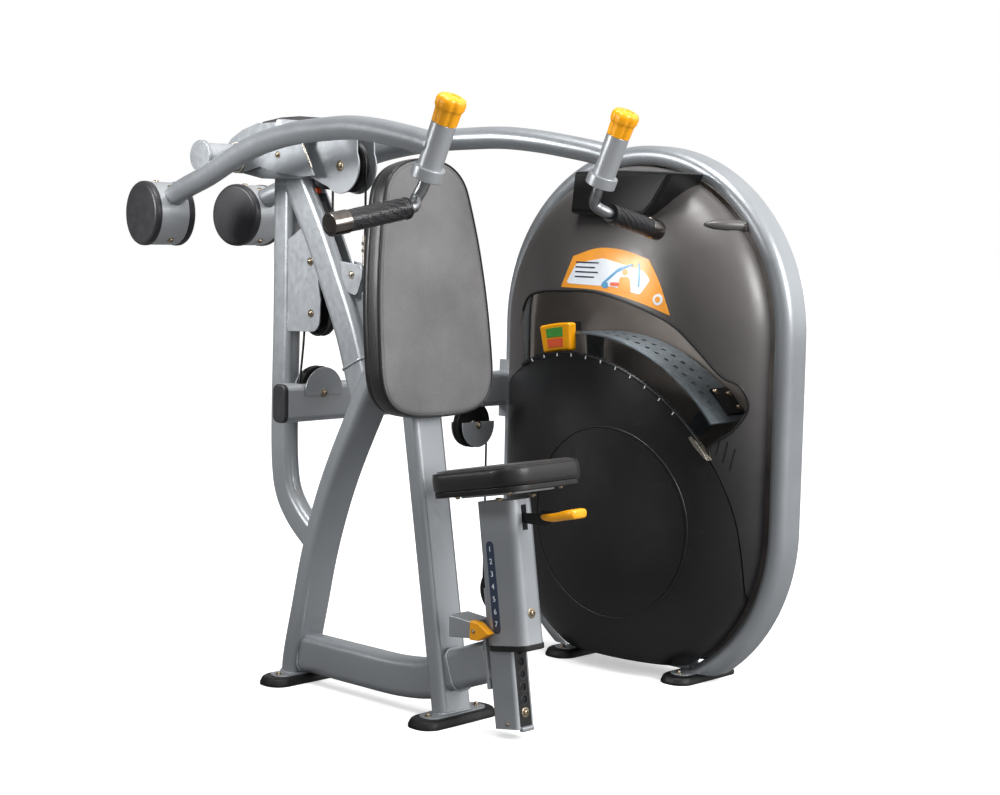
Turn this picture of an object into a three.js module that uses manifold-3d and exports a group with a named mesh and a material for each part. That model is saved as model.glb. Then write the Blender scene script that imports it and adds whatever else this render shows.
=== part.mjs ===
// Seated shoulder press machine with a shrouded weight tower, in millimetres.
// Frame: +Z is up, -Y is the way the user faces, +X is the user's left (the tower side).
// The origin is on the floor at the centre of the front leg's foot, and the seat's mid-plane is X = 0.

import * as THREE from 'three';
import { mergeVertices } from 'three/addons/utils/BufferGeometryUtils.js';
import Module from 'manifold-3d';

const wasm = await Module();
wasm.setup();

// ---------------------------------------------------------------- driving dimensions

const GAP = 0.4;
const CURVE_STEPS = 10;
const ROUND_SIDES = 14;

const FOOT = { length: 262, width: 96, height: 22, corner: 42 };
const LEG = { width: 102, depth: 51, corner: 16 };
const BEAM = { width: 51, depth: 102, corner: 18 };
const SPINE = { width: 51, depth: 76, corner: 20 };
const BASE = { width: 70, depth: 102, corner: 24 };

const FRONT_LEG_TOP = { y: 160, z: 950 };
const REAR_LEG_LINE = [[583, 0], [578, 60], [545, 200], [500, 375], [434, 550], [330, 750], [220, 945]];
const SPINE_LINE = [[572, 1330], [504, 1203], [443, 1075], [383, 948], [335, 822], [325, 792]];
const UPRIGHT_Y = 652;
const UPRIGHT_LINE = [[UPRIGHT_Y, 1337], [UPRIGHT_Y, 1000], [UPRIGHT_Y, 570], [634, 498], [592, 442], [530, 392]];
const BASE_LINE = [[560, 77], [330, 78], [180, 80], [80, 92], [26, 108]];
const STUB_LINE = [[14, 120], [-50, 144], [-141, 178]];

const CROSS_BAR = { y: 572, z: 748, xLeft: -80, xRight: 759, wall: 4 };
const UPRIGHT_FRONT = UPRIGHT_Y - SPINE.depth / 2;

const PIVOT = { y: 790, z: 1391 };
const HOUSING = { radius: 41, halfWidth: 54, frontY: 532, top: 1432, bottom: 1336 };
const SHAFT_RADIUS = 24;
const PIVOT_TUBE_RADIUS = 36;
const EAR_RADIUS = 40;

const ARM_RADIUS = 28.5;
const ARM_SPLAY = 0.1252;
const ARM_HALF_SPAN = 302;
const ARM_LINE = [
  [1006, 1238], [935, 1287], [756, 1342], [631, 1385], [511, 1418], [365, 1440],
  [215, 1448], [114, 1449], [11, 1440], [-88, 1425], [-165, 1411], [-208, 1401],
];
const SLEEVE = { y: -182, z: 1333, length: 134, radius: 29, collar: 35.5, collarHeight: 22 };
const SLEEVE_LEAN = THREE.MathUtils.degToRad(24.5);
const HANDLE_RADIUS = 14;
const GRIP = { inner: [351, -173, 1261], outer: [558, -156, 1222], radius: 24 };
const KNOB = { radius: 29, height: 52, lift: 3 };
const COUNTERWEIGHT = { y: 1006, z: 1238, radius: 85, length: 122, outset: 4 };

const PULLEY = { radius: 60, groove: 53, width: 20, bore: 8 };
const PRESS_PULLEY = { radius: 67, groove: 60, width: 20, bore: 8 };
const PRESS_PULLEY_CENTRE = { y: 410, z: 1369 };
const UPPER_PULLEY_CENTRE = { y: 523, z: 1121 };
const LOWER_PULLEY_CENTRE = { y: 518, z: 986 };
const LEFT_PULLEY_CENTRE = { x: 40, z: 776 };
const RIGHT_PULLEY_CENTRE = { x: 632, z: 648 };
const FLOOR_PULLEY_CENTRE = { x: 695, y: 509, z: 158 };
const CABLE_RADIUS = 3;

const POST = { width: 51, depth: 76, slope: 0.151, y: -198, z: 120, bottom: 25, top: 360 };
const CARRIAGE = { width: 66, depth: 118, wall: 4, y: -186, z: 403, bottom: 225, top: 572 };
const SEAT = { width: 280, length: 300, board: 14, pad: 42, corner: 70, y: -172, z: 591 };

const PAD_LEAN = Math.atan(0.111);
const BACK_PAD = { bottom: 752, top: 1378, frontY: 55, cushion: 42, shell: 17 };

const TOWER_X = 820;
const RING = { width: 98, depth: 55, corner: 26, y: 77, highZ: 945, lowZ: 436, radius: 479.5 };
const RING_END = THREE.MathUtils.degToRad(60);
const AXLE = { y: 171, z: 360, radius: 20 };
const SHROUD = { radius: 450, crown: 74, rise: 155, baseX: 770, skin: 5, floor: 26 };
const RAIL_RADIUS = 517;
const WINDOW = { radius: 690, from: 68, to: 141 };
const BAND = { radius: 577, thickness: 5, near: 662, far: 764, from: 80, to: 141 };

// ---------------------------------------------------------------- materials

const finish = (color, roughness, metalness) => ({ color, roughness, metalness });
const SILVER = finish(0x9ea3a6, 0.42, 0.55);
const STEEL = finish(0x8b8f92, 0.35, 0.85);
const RUBBER = finish(0x17181a, 0.8, 0.0);
const VINYL = finish(0x2b2c2e, 0.6, 0.0);
const CHARCOAL = finish(0x3c3d3f, 0.4, 0.1);
const BLACK_SHELL = finish(0x1b1b1c, 0.45, 0.05);
const YELLOW = finish(0xf2b01c, 0.45, 0.0);
const NYLON = finish(0x202123, 0.5, 0.0);
const ZINC = finish(0xa9b0b4, 0.35, 0.9);

// ---------------------------------------------------------------- solids

const machine = new THREE.Group();
machine.name = 'shoulder_press';

function addPart(name, geometry, look, parent = machine) {
  const mesh = new THREE.Mesh(geometry, new THREE.MeshStandardMaterial(look));
  mesh.name = name;
  parent.add(mesh);
  return mesh;
}

function solidOf(geometry) {
  const bare = geometry.clone();
  bare.deleteAttribute('normal');
  bare.deleteAttribute('uv');
  const welded = mergeVertices(bare, 1e-4);
  return new wasm.Manifold(new wasm.Mesh({
    numProp: 3,
    vertProperties: new Float32Array(welded.attributes.position.array),
    triVerts: new Uint32Array(welded.index.array),
  }));
}

function geometryOf(solid) {
  const mesh = solid.getMesh();
  const geometry = new THREE.BufferGeometry();
  geometry.setAttribute('position', new THREE.BufferAttribute(mesh.vertProperties, 3));
  geometry.setIndex(new THREE.BufferAttribute(mesh.triVerts, 1));
  geometry.computeVertexNormals();
  return geometry;
}

function cut(geometry, ...tools) {
  return geometryOf(tools.reduce((body, tool) => body.subtract(solidOf(tool)), solidOf(geometry)));
}

function join(...pieces) {
  return geometryOf(pieces.map(solidOf).reduce((body, piece) => body.add(piece)));
}

function common(geometry, tool) {
  return geometryOf(solidOf(geometry).intersect(solidOf(tool)));
}

// ---------------------------------------------------------------- shapes

const vec = (x, y, z) => new THREE.Vector3(x, y, z);
const X_AXIS = vec(1, 0, 0);
const Y_AXIS = vec(0, 1, 0);
const Z_AXIS = vec(0, 0, 1);
const midPlane = (line, x = 0) => line.map(([y, z]) => vec(x, y, z));

function roundedRectangle(width, height, corner) {
  const shape = new THREE.Shape();
  const [x, y] = [width / 2, height / 2];
  const centres = [[x - corner, y - corner, 0], [corner - x, y - corner, 1],
    [corner - x, corner - y, 2], [x - corner, corner - y, 3]];
  for (const [cx, cy, quarter] of centres) {
    shape.absarc(cx, cy, corner, quarter * Math.PI / 2, (quarter + 1) * Math.PI / 2, false);
  }
  shape.closePath();
  return shape;
}

function circle(radius) {
  const shape = new THREE.Shape();
  shape.absarc(0, 0, radius, 0, 2 * Math.PI, false);
  return shape;
}

// Sweeps a section along a path. The section's x axis stays on the side vector, so the tube never twists.
function sweep(path, section, side, steps, curveSegments = 2) {
  path.computeFrenetFrames = (count) => {
    const frames = { tangents: [], normals: [], binormals: [] };
    for (let i = 0; i <= count; i += 1) {
      const tangent = path.getTangentAt(i / count);
      const binormal = tangent.clone().cross(side).normalize();
      frames.tangents.push(tangent);
      frames.binormals.push(binormal);
      frames.normals.push(binormal.clone().cross(tangent));
    }
    return frames;
  };
  return new THREE.ExtrudeGeometry(section, { steps, curveSegments, extrudePath: path });
}

function curvedTube(points, size, side, grow = 0, steps = CURVE_STEPS) {
  const section = roundedRectangle(size.width + 2 * grow, size.depth + 2 * grow, size.corner + grow);
  return sweep(new THREE.CatmullRomCurve3(points, false, 'centripetal'), section, side, steps);
}

function straightTube(from, to, size, side, grow = 0) {
  const section = roundedRectangle(size.width + 2 * grow, size.depth + 2 * grow, size.corner + grow);
  return sweep(new THREE.LineCurve3(from, to), section, side, 1);
}

function roundBar(from, to, radius, sides = ROUND_SIDES) {
  const along = to.clone().sub(from);
  const geometry = new THREE.CylinderGeometry(radius, radius, along.length(), sides);
  geometry.applyQuaternion(new THREE.Quaternion().setFromUnitVectors(Y_AXIS, along.clone().normalize()));
  return geometry.translate(...from.clone().add(to).multiplyScalar(0.5).toArray());
}

function box(x0, x1, y0, y1, z0, z1) {
  const geometry = new THREE.BoxGeometry(x1 - x0, y1 - y0, z1 - z0);
  return geometry.translate((x0 + x1) / 2, (y0 + y1) / 2, (z0 + z1) / 2);
}

// Extrudes an outline drawn in (y, z) along X, from x0 to x1.
function sidePlate(shape, x0, x1, options = {}) {
  const geometry = new THREE.ExtrudeGeometry(shape, { depth: x1 - x0, bevelEnabled: false, ...options });
  geometry.applyMatrix4(new THREE.Matrix4().makeBasis(Y_AXIS, Z_AXIS, X_AXIS));
  return geometry.translate(x0, 0, 0);
}

// Extrudes an outline drawn in (x, y) upwards from z0.
function floorPlate(shape, z0, height, options = {}) {
  return new THREE.ExtrudeGeometry(shape, { depth: height, bevelEnabled: false, ...options }).translate(0, 0, z0);
}

// ---------------------------------------------------------------- feet

function addFoot(name, x, y) {
  const outline = roundedRectangle(FOOT.length, FOOT.width, FOOT.corner);
  addPart(name, floorPlate(outline, 0, FOOT.height, { curveSegments: 5 }), RUBBER).position.set(x, y, 0);
}

addFoot('foot_front', 0, 0);
addFoot('foot_rear', 0, 570);

// ---------------------------------------------------------------- seat frame

const belowFeet = box(-400, 1400, -1500, 1500, -200, FOOT.height + GAP);

const frontLegTube = (grow) => straightTube(
  vec(0, 0, 0), vec(0, FRONT_LEG_TOP.y, FRONT_LEG_TOP.z), LEG, X_AXIS, grow);
const rearLegTube = (grow) => curvedTube(midPlane(REAR_LEG_LINE), LEG, X_AXIS, grow);
const spineTube = (grow) => curvedTube(midPlane(SPINE_LINE), SPINE, X_AXIS, grow);

const shellGeometry = (grow) => {
  const half = (BACK_PAD.top - BACK_PAD.bottom) / 2;
  const thick = BACK_PAD.shell + 2 * grow;
  const geometry = new THREE.ExtrudeGeometry(backPadOutline(grow - 3), {
    depth: thick, bevelEnabled: false, curveSegments: 6,
  });
  geometry.translate(0, -half, -thick / 2);
  geometry.rotateX(Math.PI / 2);
  geometry.translate(0, BACK_PAD.cushion + BACK_PAD.shell / 2 + GAP, 0);
  geometry.rotateX(-PAD_LEAN);
  return geometry.translate(0, BACK_PAD.frontY + half * Math.sin(PAD_LEAN), BACK_PAD.bottom + half);
};

// Outline of the back pad: a wide rounded bottom that narrows to a rounded head.
function backPadOutline(grow = 0) {
  const height = BACK_PAD.top - BACK_PAD.bottom;
  const [low, high] = [182 + grow, 128 + grow];
  const shape = new THREE.Shape();
  shape.moveTo(0, -grow);
  shape.bezierCurveTo(low * 0.78, -grow, low, 30, low, 128);
  shape.bezierCurveTo(low, 300, high + 34, 430, high + 4, height - 92);
  shape.bezierCurveTo(high - 12, height - 20 + grow, 62, height + grow, 0, height + grow);
  shape.bezierCurveTo(-62, height + grow, 12 - high, height - 20 + grow, -high - 4, height - 92);
  shape.bezierCurveTo(-high - 34, 430, -low, 300, -low, 128);
  shape.bezierCurveTo(-low, 30, -low * 0.78, -grow, 0, -grow);
  return shape;
}

addPart('front_leg', cut(frontLegTube(0), belowFeet, shellGeometry(GAP)), SILVER);
addPart('rear_leg', cut(rearLegTube(0), belowFeet, frontLegTube(GAP), shellGeometry(GAP)), SILVER);

// The spine is slotted where the cable and the upper bracket pulley pass through it.
const spineSlot = box(-16, 16, 380, 700, 1040, 1300);
const aboveHousingFoot = box(-100, 100, 400, 900, HOUSING.bottom - GAP, 1600);
addPart('spine_tube', cut(spineTube(0), rearLegTube(GAP), spineSlot, aboveHousingFoot), SILVER);

const uprightTube = curvedTube(midPlane(UPRIGHT_LINE), SPINE, X_AXIS, 0, 12);
addPart('rear_upright', cut(uprightTube, rearLegTube(GAP), aboveHousingFoot), SILVER);

addPart('base_tube', cut(curvedTube(midPlane(BASE_LINE), BASE, X_AXIS), rearLegTube(GAP), frontLegTube(GAP)), SILVER);

const postY = (z) => POST.y + (z - POST.z) * POST.slope;
const postTilt = -Math.atan(POST.slope);
const flange = box(-33, 33, -4, 4, -62, 62);
flange.rotateX(postTilt);
flange.translate(0, postY(178) + POST.depth / 2 + 4 + 2 * GAP, 178);
addPart('seat_stub', join(cut(curvedTube(midPlane(STUB_LINE), BASE, X_AXIS, 0, 5), frontLegTube(GAP),
  box(-60, 60, -400, -146, 0, 400)), flange), SILVER);

const postTube = (from, to, width, depth, shift, corner) => straightTube(
  vec(0, postY(from) + shift, from), vec(0, postY(to) + shift, to), { width, depth, corner }, X_AXIS);
addPart('seat_post', postTube(POST.bottom, POST.top, POST.width, POST.depth, 0, 8), SILVER);

const pointerBlock = box(-44, 10, -106, -42, 222, 284);
const pointerTip = new THREE.Shape([[-96, 232], [-124, 232], [-164, 256], [-124, 282], [-96, 282]]
  .map(([y, z]) => new THREE.Vector2(y, z)).reverse());
addPart('seat_pointer', cut(join(pointerBlock, sidePlate(pointerTip, -58, -35)), frontLegTube(GAP),
  curvedTube(midPlane(STUB_LINE), BASE, X_AXIS, GAP, 5)), YELLOW);

// ---------------------------------------------------------------- cross bar

const barFrom = vec(CROSS_BAR.xLeft, CROSS_BAR.y, CROSS_BAR.z);
const barTo = vec(CROSS_BAR.xRight, CROSS_BAR.y, CROSS_BAR.z);
const barBore = { width: BEAM.width - 2 * CROSS_BAR.wall, depth: BEAM.depth - 2 * CROSS_BAR.wall, corner: 14 };
const pulleySlot = (x, z0, z1) => box(x - 72, x + 72, CROSS_BAR.y - 13, CROSS_BAR.y + 13, z0, z1);
const standoff = box(-24, 24, CROSS_BAR.y + BEAM.width / 2 - 3, UPRIGHT_FRONT - GAP, 706, 790);
const barFlange = box(CROSS_BAR.xRight - 2, TOWER_X - RING.width / 2 - GAP, 533, 584, 664, 832);
addPart('cross_bar', cut(
  join(straightTube(barFrom, barTo, BEAM, Y_AXIS), standoff, barFlange),
  straightTube(barFrom.clone().setX(-200), barTo.clone().setX(CROSS_BAR.xRight - 6), barBore, Y_AXIS),
  pulleySlot(LEFT_PULLEY_CENTRE.x, 770, 900),
  pulleySlot(RIGHT_PULLEY_CENTRE.x, 600, 730),
), SILVER);

const capFrom = barFrom.clone().setX(CROSS_BAR.xLeft - 10);
addPart('cross_bar_cap', join(
  straightTube(capFrom, barFrom.clone().setX(CROSS_BAR.xLeft - GAP), BEAM, Y_AXIS),
  straightTube(capFrom, barFrom.clone().setX(CROSS_BAR.xLeft + 18),
    { width: barBore.width - 1, depth: barBore.depth - 1, corner: 13 }, Y_AXIS)), RUBBER);

// ---------------------------------------------------------------- head and pulley bracket

const housingOutline = new THREE.Shape();
housingOutline.moveTo(HOUSING.frontY, HOUSING.bottom);
housingOutline.lineTo(700, HOUSING.bottom);
housingOutline.lineTo(PIVOT.y, PIVOT.z - HOUSING.radius);
housingOutline.absarc(PIVOT.y, PIVOT.z, HOUSING.radius, -Math.PI / 2, Math.PI * 0.62, false);
housingOutline.lineTo(HOUSING.frontY, HOUSING.top);
housingOutline.closePath();
const shaftAt = (x) => vec(x, PIVOT.y, PIVOT.z);
addPart('pivot_housing', cut(
  sidePlate(housingOutline, -HOUSING.halfWidth, HOUSING.halfWidth, { curveSegments: 14 }),
  roundBar(shaftAt(-100), shaftAt(100), SHAFT_RADIUS + 0.6, 24),
), SILVER);

const bracketOutline = new THREE.Shape();
bracketOutline.moveTo(UPRIGHT_FRONT - GAP, 935);
bracketOutline.lineTo(UPRIGHT_FRONT - GAP, 1176);
bracketOutline.lineTo(556, 1212);
bracketOutline.lineTo(505, 1176);
bracketOutline.lineTo(488, 1050);
bracketOutline.lineTo(482, 985);
bracketOutline.absarc(518, 972, 34, Math.PI, Math.PI * 1.5, false);
bracketOutline.closePath();
const bracketPlates = [-31, 27].map((x) => sidePlate(bracketOutline, x, x + 4));
const bracketWeb = box(-29, 29, UPRIGHT_FRONT - 8, UPRIGHT_FRONT - GAP, 1110, 1160);
addPart('pulley_bracket', join(...bracketPlates, bracketWeb), SILVER);

const anchorOutline = new THREE.Shape([[440, 1136], [340, 1118], [330, 1086], [352, 1046], [404, 1030]]
  .map(([y, z]) => new THREE.Vector2(y, z)));
const eyebolt = roundBar(vec(0, 347, 1096), vec(0, 347, 1190), 6, 10);
addPart('cable_anchor', join(cut(join(sidePlate(anchorOutline, -24, -18), sidePlate(anchorOutline, 18, 24),
  box(-20, 20, 346, 352, 1052, 1112)), spineTube(GAP)), eyebolt, box(-20, 20, 338, 356, 1088, 1102)), STEEL);

// ---------------------------------------------------------------- back pad

const cushion = new THREE.ExtrudeGeometry(backPadOutline(-8), {
  depth: BACK_PAD.cushion - 16, bevelEnabled: true, bevelThickness: 8, bevelSize: 8, bevelSegments: 2, curveSegments: 5,
});
const padHalf = (BACK_PAD.top - BACK_PAD.bottom) / 2;
cushion.translate(0, -padHalf, -BACK_PAD.cushion + 8);
cushion.rotateX(Math.PI / 2);
cushion.rotateX(-PAD_LEAN);
cushion.translate(0, BACK_PAD.frontY + padHalf * Math.sin(PAD_LEAN), BACK_PAD.bottom + padHalf);
addPart('back_pad', cushion, VINYL);
addPart('back_pad_shell', shellGeometry(0), BLACK_SHELL);

// ---------------------------------------------------------------- seat

const seatGroup = new THREE.Group();
seatGroup.position.set(0, SEAT.y, SEAT.z);
seatGroup.rotation.x = postTilt;
machine.add(seatGroup);
const seatOutline = (grow) => roundedRectangle(SEAT.width + 2 * grow, SEAT.length + 2 * grow, SEAT.corner + grow);
addPart('seat_board', floorPlate(seatOutline(-2), 0, SEAT.board, { curveSegments: 6 }), NYLON, seatGroup);
addPart('seat_pad', new THREE.ExtrudeGeometry(seatOutline(-8), {
  depth: SEAT.pad - 16, bevelEnabled: true, bevelThickness: 8, bevelSize: 8, bevelSegments: 1, curveSegments: 4,
}).translate(0, 0, SEAT.board + 8 + GAP), VINYL, seatGroup);

const carriageShift = CARRIAGE.y - postY(CARRIAGE.z);
const carriageTube = (from, to, width, depth, shift, corner) => postTube(
  from, to, width, depth, carriageShift + shift, corner);
const channelWidth = CARRIAGE.width - 2 * CARRIAGE.wall;
const leverSlot = box(-9, 9, -300, -190, 508, 568);
const seatUnderside = seatGroup.clone(false);
seatUnderside.updateMatrix();
const aboveBoard = box(-200, 200, -250, 250, -GAP, 200).applyMatrix4(seatUnderside.matrix);
addPart('seat_carriage', cut(
  carriageTube(CARRIAGE.bottom, CARRIAGE.top + 60, CARRIAGE.width, CARRIAGE.depth, 0, 20),
  carriageTube(CARRIAGE.bottom - 60, CARRIAGE.top - 20, channelWidth, CARRIAGE.depth, CARRIAGE.wall, 4),
  leverSlot, aboveBoard,
), SILVER);

const leverOutline = new THREE.Shape([[-196, 526], [-196, 545], [-304, 556], [-402, 572], [-408, 562],
  [-336, 542], [-300, 524]].map(([y, z]) => new THREE.Vector2(y, z)));
addPart('seat_lever', join(sidePlate(leverOutline, -6, 6),
  roundBar(vec(-12, -398, 563), vec(12, -398, 563), 6, 10),
  box(-16, 16, -398, -326, 555, 563)), YELLOW);

// ---------------------------------------------------------------- press arm

const armX = (side, y) => side * (ARM_HALF_SPAN - (y + 208) * ARM_SPLAY);
const armPath = (side) => new THREE.CatmullRomCurve3(
  ARM_LINE.map(([y, z]) => vec(armX(side, y), y, z)), false, 'centripetal');
const armTube = (side, grow) => sweep(armPath(side), circle(ARM_RADIUS + grow), X_AXIS, 16, 6);
const sleeveAxis = vec(0, -Math.sin(SLEEVE_LEAN), Math.cos(SLEEVE_LEAN));
const sleeveAt = (side, height) => vec(side * 299, SLEEVE.y, SLEEVE.z).addScaledVector(sleeveAxis, height);
const sleeveBody = (side, grow) => join(
  roundBar(sleeveAt(side, -grow), sleeveAt(side, SLEEVE.length + grow), SLEEVE.radius + grow),
  roundBar(sleeveAt(side, -grow), sleeveAt(side, SLEEVE.collarHeight + grow), SLEEVE.collar + grow));
const weightAxis = (side) => vec(1, side * ARM_SPLAY, 0).normalize();
const weightAt = (side, offset) => vec(armX(side, COUNTERWEIGHT.y), COUNTERWEIGHT.y, COUNTERWEIGHT.z)
  .addScaledVector(weightAxis(side), offset + side * COUNTERWEIGHT.outset);
const weightBody = (side, grow) => roundBar(weightAt(side, -COUNTERWEIGHT.length / 2 - grow),
  weightAt(side, COUNTERWEIGHT.length / 2 + grow), COUNTERWEIGHT.radius + grow, 24);

const earDisc = (side) => {
  const x = armX(side, PIVOT.y);
  return join(roundBar(shaftAt(x - 6), shaftAt(x + 6), EAR_RADIUS, 22),
    box(x - 6, x + 6, PIVOT.y - 30, PIVOT.y + 30, 1335, PIVOT.z));
};

function addHandle(side, suffix) {
  const spindle = sleeveAt(side, SLEEVE.length + 1);
  const [inner, outer] = [GRIP.inner, GRIP.outer].map(([x, y, z]) => vec(side * x, y, z));
  const along = outer.clone().sub(inner).normalize();
  const gripLine = (distance) => inner.clone().addScaledVector(along, distance);
  const bend = new THREE.CatmullRomCurve3([spindle, sleeveAt(side, 60), sleeveAt(side, -24),
    sleeveAt(side, -56).addScaledVector(X_AXIS, side * 9), gripLine(-20), gripLine(12), gripLine(110),
    outer.clone().addScaledVector(along, -6)], false, 'centripetal');
  addPart(`handle_${suffix}`, sweep(bend, circle(HANDLE_RADIUS), vec(0, 1, 0.2).normalize(), 20, 5), STEEL);
  const gripBore = roundBar(inner.clone().addScaledVector(along, -20), outer.clone().addScaledVector(along, -4),
    HANDLE_RADIUS + 2.2, 14);
  addPart(`grip_${suffix}`, cut(roundBar(inner, outer, GRIP.radius), gripBore), RUBBER);
  addPart(`knob_${suffix}`, roundBar(sleeveAt(side, SLEEVE.length + KNOB.lift),
    sleeveAt(side, SLEEVE.length + KNOB.lift + KNOB.height), KNOB.radius), YELLOW);
}

function addArm(side, suffix) {
  addPart(`arm_${suffix}`, cut(armTube(side, 0), sleeveBody(side, GAP), weightBody(side, GAP)), SILVER);
  addPart(`handle_sleeve_${suffix}`, cut(sleeveBody(side, 0),
    roundBar(sleeveAt(side, -10), sleeveAt(side, SLEEVE.length + 10), HANDLE_RADIUS + 2.6, 16)), SILVER);
  addPart(`counterweight_${suffix}`, weightBody(side, 0), SILVER);
  addHandle(side, suffix);
}

addArm(-1, 'right');
addArm(1, 'left');
const pivotCollar = (side) => roundBar(shaftAt(side * 65), shaftAt(side * 172), PIVOT_TUBE_RADIUS, 24);
addPart('pivot_tube', cut(join(roundBar(shaftAt(-176), shaftAt(176), SHAFT_RADIUS, 24), pivotCollar(-1),
  pivotCollar(1), earDisc(-1), earDisc(1)), armTube(-1, GAP), armTube(1, GAP)), SILVER);

// Two side plates carry the moving pulley, and a cross tube ties them to both arms.
const leverOutlineShape = new THREE.Shape();
leverOutlineShape.moveTo(696, 1366);
leverOutlineShape.lineTo(PIVOT.y - 16, PIVOT.z - 42);
leverOutlineShape.quadraticCurveTo(PIVOT.y + 78, PIVOT.z - 40, PIVOT.y + 78, PIVOT.z + 30);
leverOutlineShape.quadraticCurveTo(PIVOT.y + 52, 1474, 708, 1482);
leverOutlineShape.lineTo(350, 1478);
leverOutlineShape.absarc(PRESS_PULLEY_CENTRE.y, PRESS_PULLEY_CENTRE.z, 71, Math.PI * 0.85, Math.PI * 1.72, false);
leverOutlineShape.lineTo(520, 1340);
leverOutlineShape.lineTo(629, 1350);
leverOutlineShape.closePath();
const CROSS_TUBE = { y: 425, z: 1440, radius: 24 };
const leverPlates = [-64, 58].map((x) => sidePlate(leverOutlineShape, x, x + 6, { curveSegments: 10 }));
const crossTube = cut(roundBar(vec(-230, CROSS_TUBE.y, CROSS_TUBE.z + 24), vec(230, CROSS_TUBE.y, CROSS_TUBE.z + 24),
  14), armTube(-1, GAP), armTube(1, GAP), box(-400, -222, 0, 900, 1300, 1600), box(222, 400, 0, 900, 1300, 1600));
addPart('lever_beam', cut(join(...leverPlates, crossTube),
  roundBar(shaftAt(-100), shaftAt(100), SHAFT_RADIUS + GAP, 24)), SILVER);

// ---------------------------------------------------------------- pulleys and cable

function pulleyGeometry(size) {
  const half = size.width / 2;
  const profile = [[size.bore, -half], [size.radius, -half], [size.radius, -half + 3], [size.groove, -2],
    [size.groove, 2], [size.radius, half - 3], [size.radius, half], [size.bore, half], [size.bore, -half]];
  return new THREE.LatheGeometry(profile.map(([r, y]) => new THREE.Vector2(r, y)), 16);
}

function addPulley(name, size, axis, centre) {
  const pulley = addPart(name, pulleyGeometry(size), NYLON);
  pulley.quaternion.setFromUnitVectors(Y_AXIS, axis);
  pulley.position.copy(centre);
}

function addAxle(name, centre, axis, half) {
  const offset = axis.clone().multiplyScalar(half);
  addPart(name, roundBar(centre.clone().sub(offset), centre.clone().add(offset), PULLEY.bore - 0.6, 12), STEEL);
}

const pressPulleyAt = vec(0, PRESS_PULLEY_CENTRE.y, PRESS_PULLEY_CENTRE.z);
const upperPulleyAt = vec(0, UPPER_PULLEY_CENTRE.y, UPPER_PULLEY_CENTRE.z);
const lowerPulleyAt = vec(0, LOWER_PULLEY_CENTRE.y, LOWER_PULLEY_CENTRE.z);
const leftPulleyAt = vec(LEFT_PULLEY_CENTRE.x, CROSS_BAR.y, LEFT_PULLEY_CENTRE.z);
const rightPulleyAt = vec(RIGHT_PULLEY_CENTRE.x, CROSS_BAR.y, RIGHT_PULLEY_CENTRE.z);
const floorPulleyAt = vec(FLOOR_PULLEY_CENTRE.x, FLOOR_PULLEY_CENTRE.y, FLOOR_PULLEY_CENTRE.z);
addPulley('pulley_press', PRESS_PULLEY, X_AXIS, pressPulleyAt);
addPulley('pulley_upper', PULLEY, X_AXIS, upperPulleyAt);
addPulley('pulley_lower', PULLEY, X_AXIS, lowerPulleyAt);
addPulley('pulley_left', PRESS_PULLEY, Y_AXIS, leftPulleyAt);
addPulley('pulley_right', PRESS_PULLEY, Y_AXIS, rightPulleyAt);
addPulley('pulley_floor', PRESS_PULLEY, X_AXIS, floorPulleyAt);
addAxle('axle_press_pulley', pressPulleyAt, X_AXIS, 57.5);
addAxle('axle_upper_pulley', upperPulleyAt, X_AXIS, 26.5);
addAxle('axle_lower_pulley', lowerPulleyAt, X_AXIS, 26.5);

const frontStrandY = PRESS_PULLEY_CENTRE.y - PRESS_PULLEY.groove - CABLE_RADIUS;
const rearStrandY = PRESS_PULLEY_CENTRE.y + PRESS_PULLEY.groove + CABLE_RADIUS;
const strand = (name, from, to) => addPart(name, roundBar(from, to, CABLE_RADIUS, 8), RUBBER);
strand('strand_front', vec(0, frontStrandY, 1191), vec(0, frontStrandY, PRESS_PULLEY_CENTRE.z - 8));
strand('strand_rear', vec(0, rearStrandY - 4, 1135), vec(0, rearStrandY - 4, PRESS_PULLEY_CENTRE.z - 30));
const cableReach = PRESS_PULLEY.groove + CABLE_RADIUS + GAP;
strand('cable_drop', vec(LEFT_PULLEY_CENTRE.x - cableReach, CROSS_BAR.y, LEFT_PULLEY_CENTRE.z + 4),
  vec(0, LOWER_PULLEY_CENTRE.y + PULLEY.groove + CABLE_RADIUS + GAP, LOWER_PULLEY_CENTRE.z - 8));
const fallX = RIGHT_PULLEY_CENTRE.x + cableReach;
strand('cable_fall', vec(fallX, CROSS_BAR.y, FLOOR_PULLEY_CENTRE.z + 6),
  vec(fallX, CROSS_BAR.y, RIGHT_PULLEY_CENTRE.z - 8));

// ---------------------------------------------------------------- tower frame

const ringPath = new THREE.Path();
ringPath.absarc(RING.y, RING.lowZ, RING.radius, -RING_END, 0, false);
ringPath.absarc(RING.y, RING.highZ, RING.radius, 0, Math.PI, false);
ringPath.absarc(RING.y, RING.lowZ, RING.radius, Math.PI, Math.PI + RING_END, false);
const RING_STATIONS = 28;
const ringLine = ringPath.getSpacedPoints(RING_STATIONS).map((p) => vec(TOWER_X, p.x, p.y));
const footReach = RING.radius * Math.cos(RING_END) - 28;
const ringTube = (grow) => curvedTube(ringLine, RING, X_AXIS, grow, RING_STATIONS);
addPart('tower_ring', cut(ringTube(0), belowFeet), SILVER);
addFoot('foot_tower_front', TOWER_X, RING.y - footReach);
addFoot('foot_tower_rear', TOWER_X, RING.y + footReach);

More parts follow.
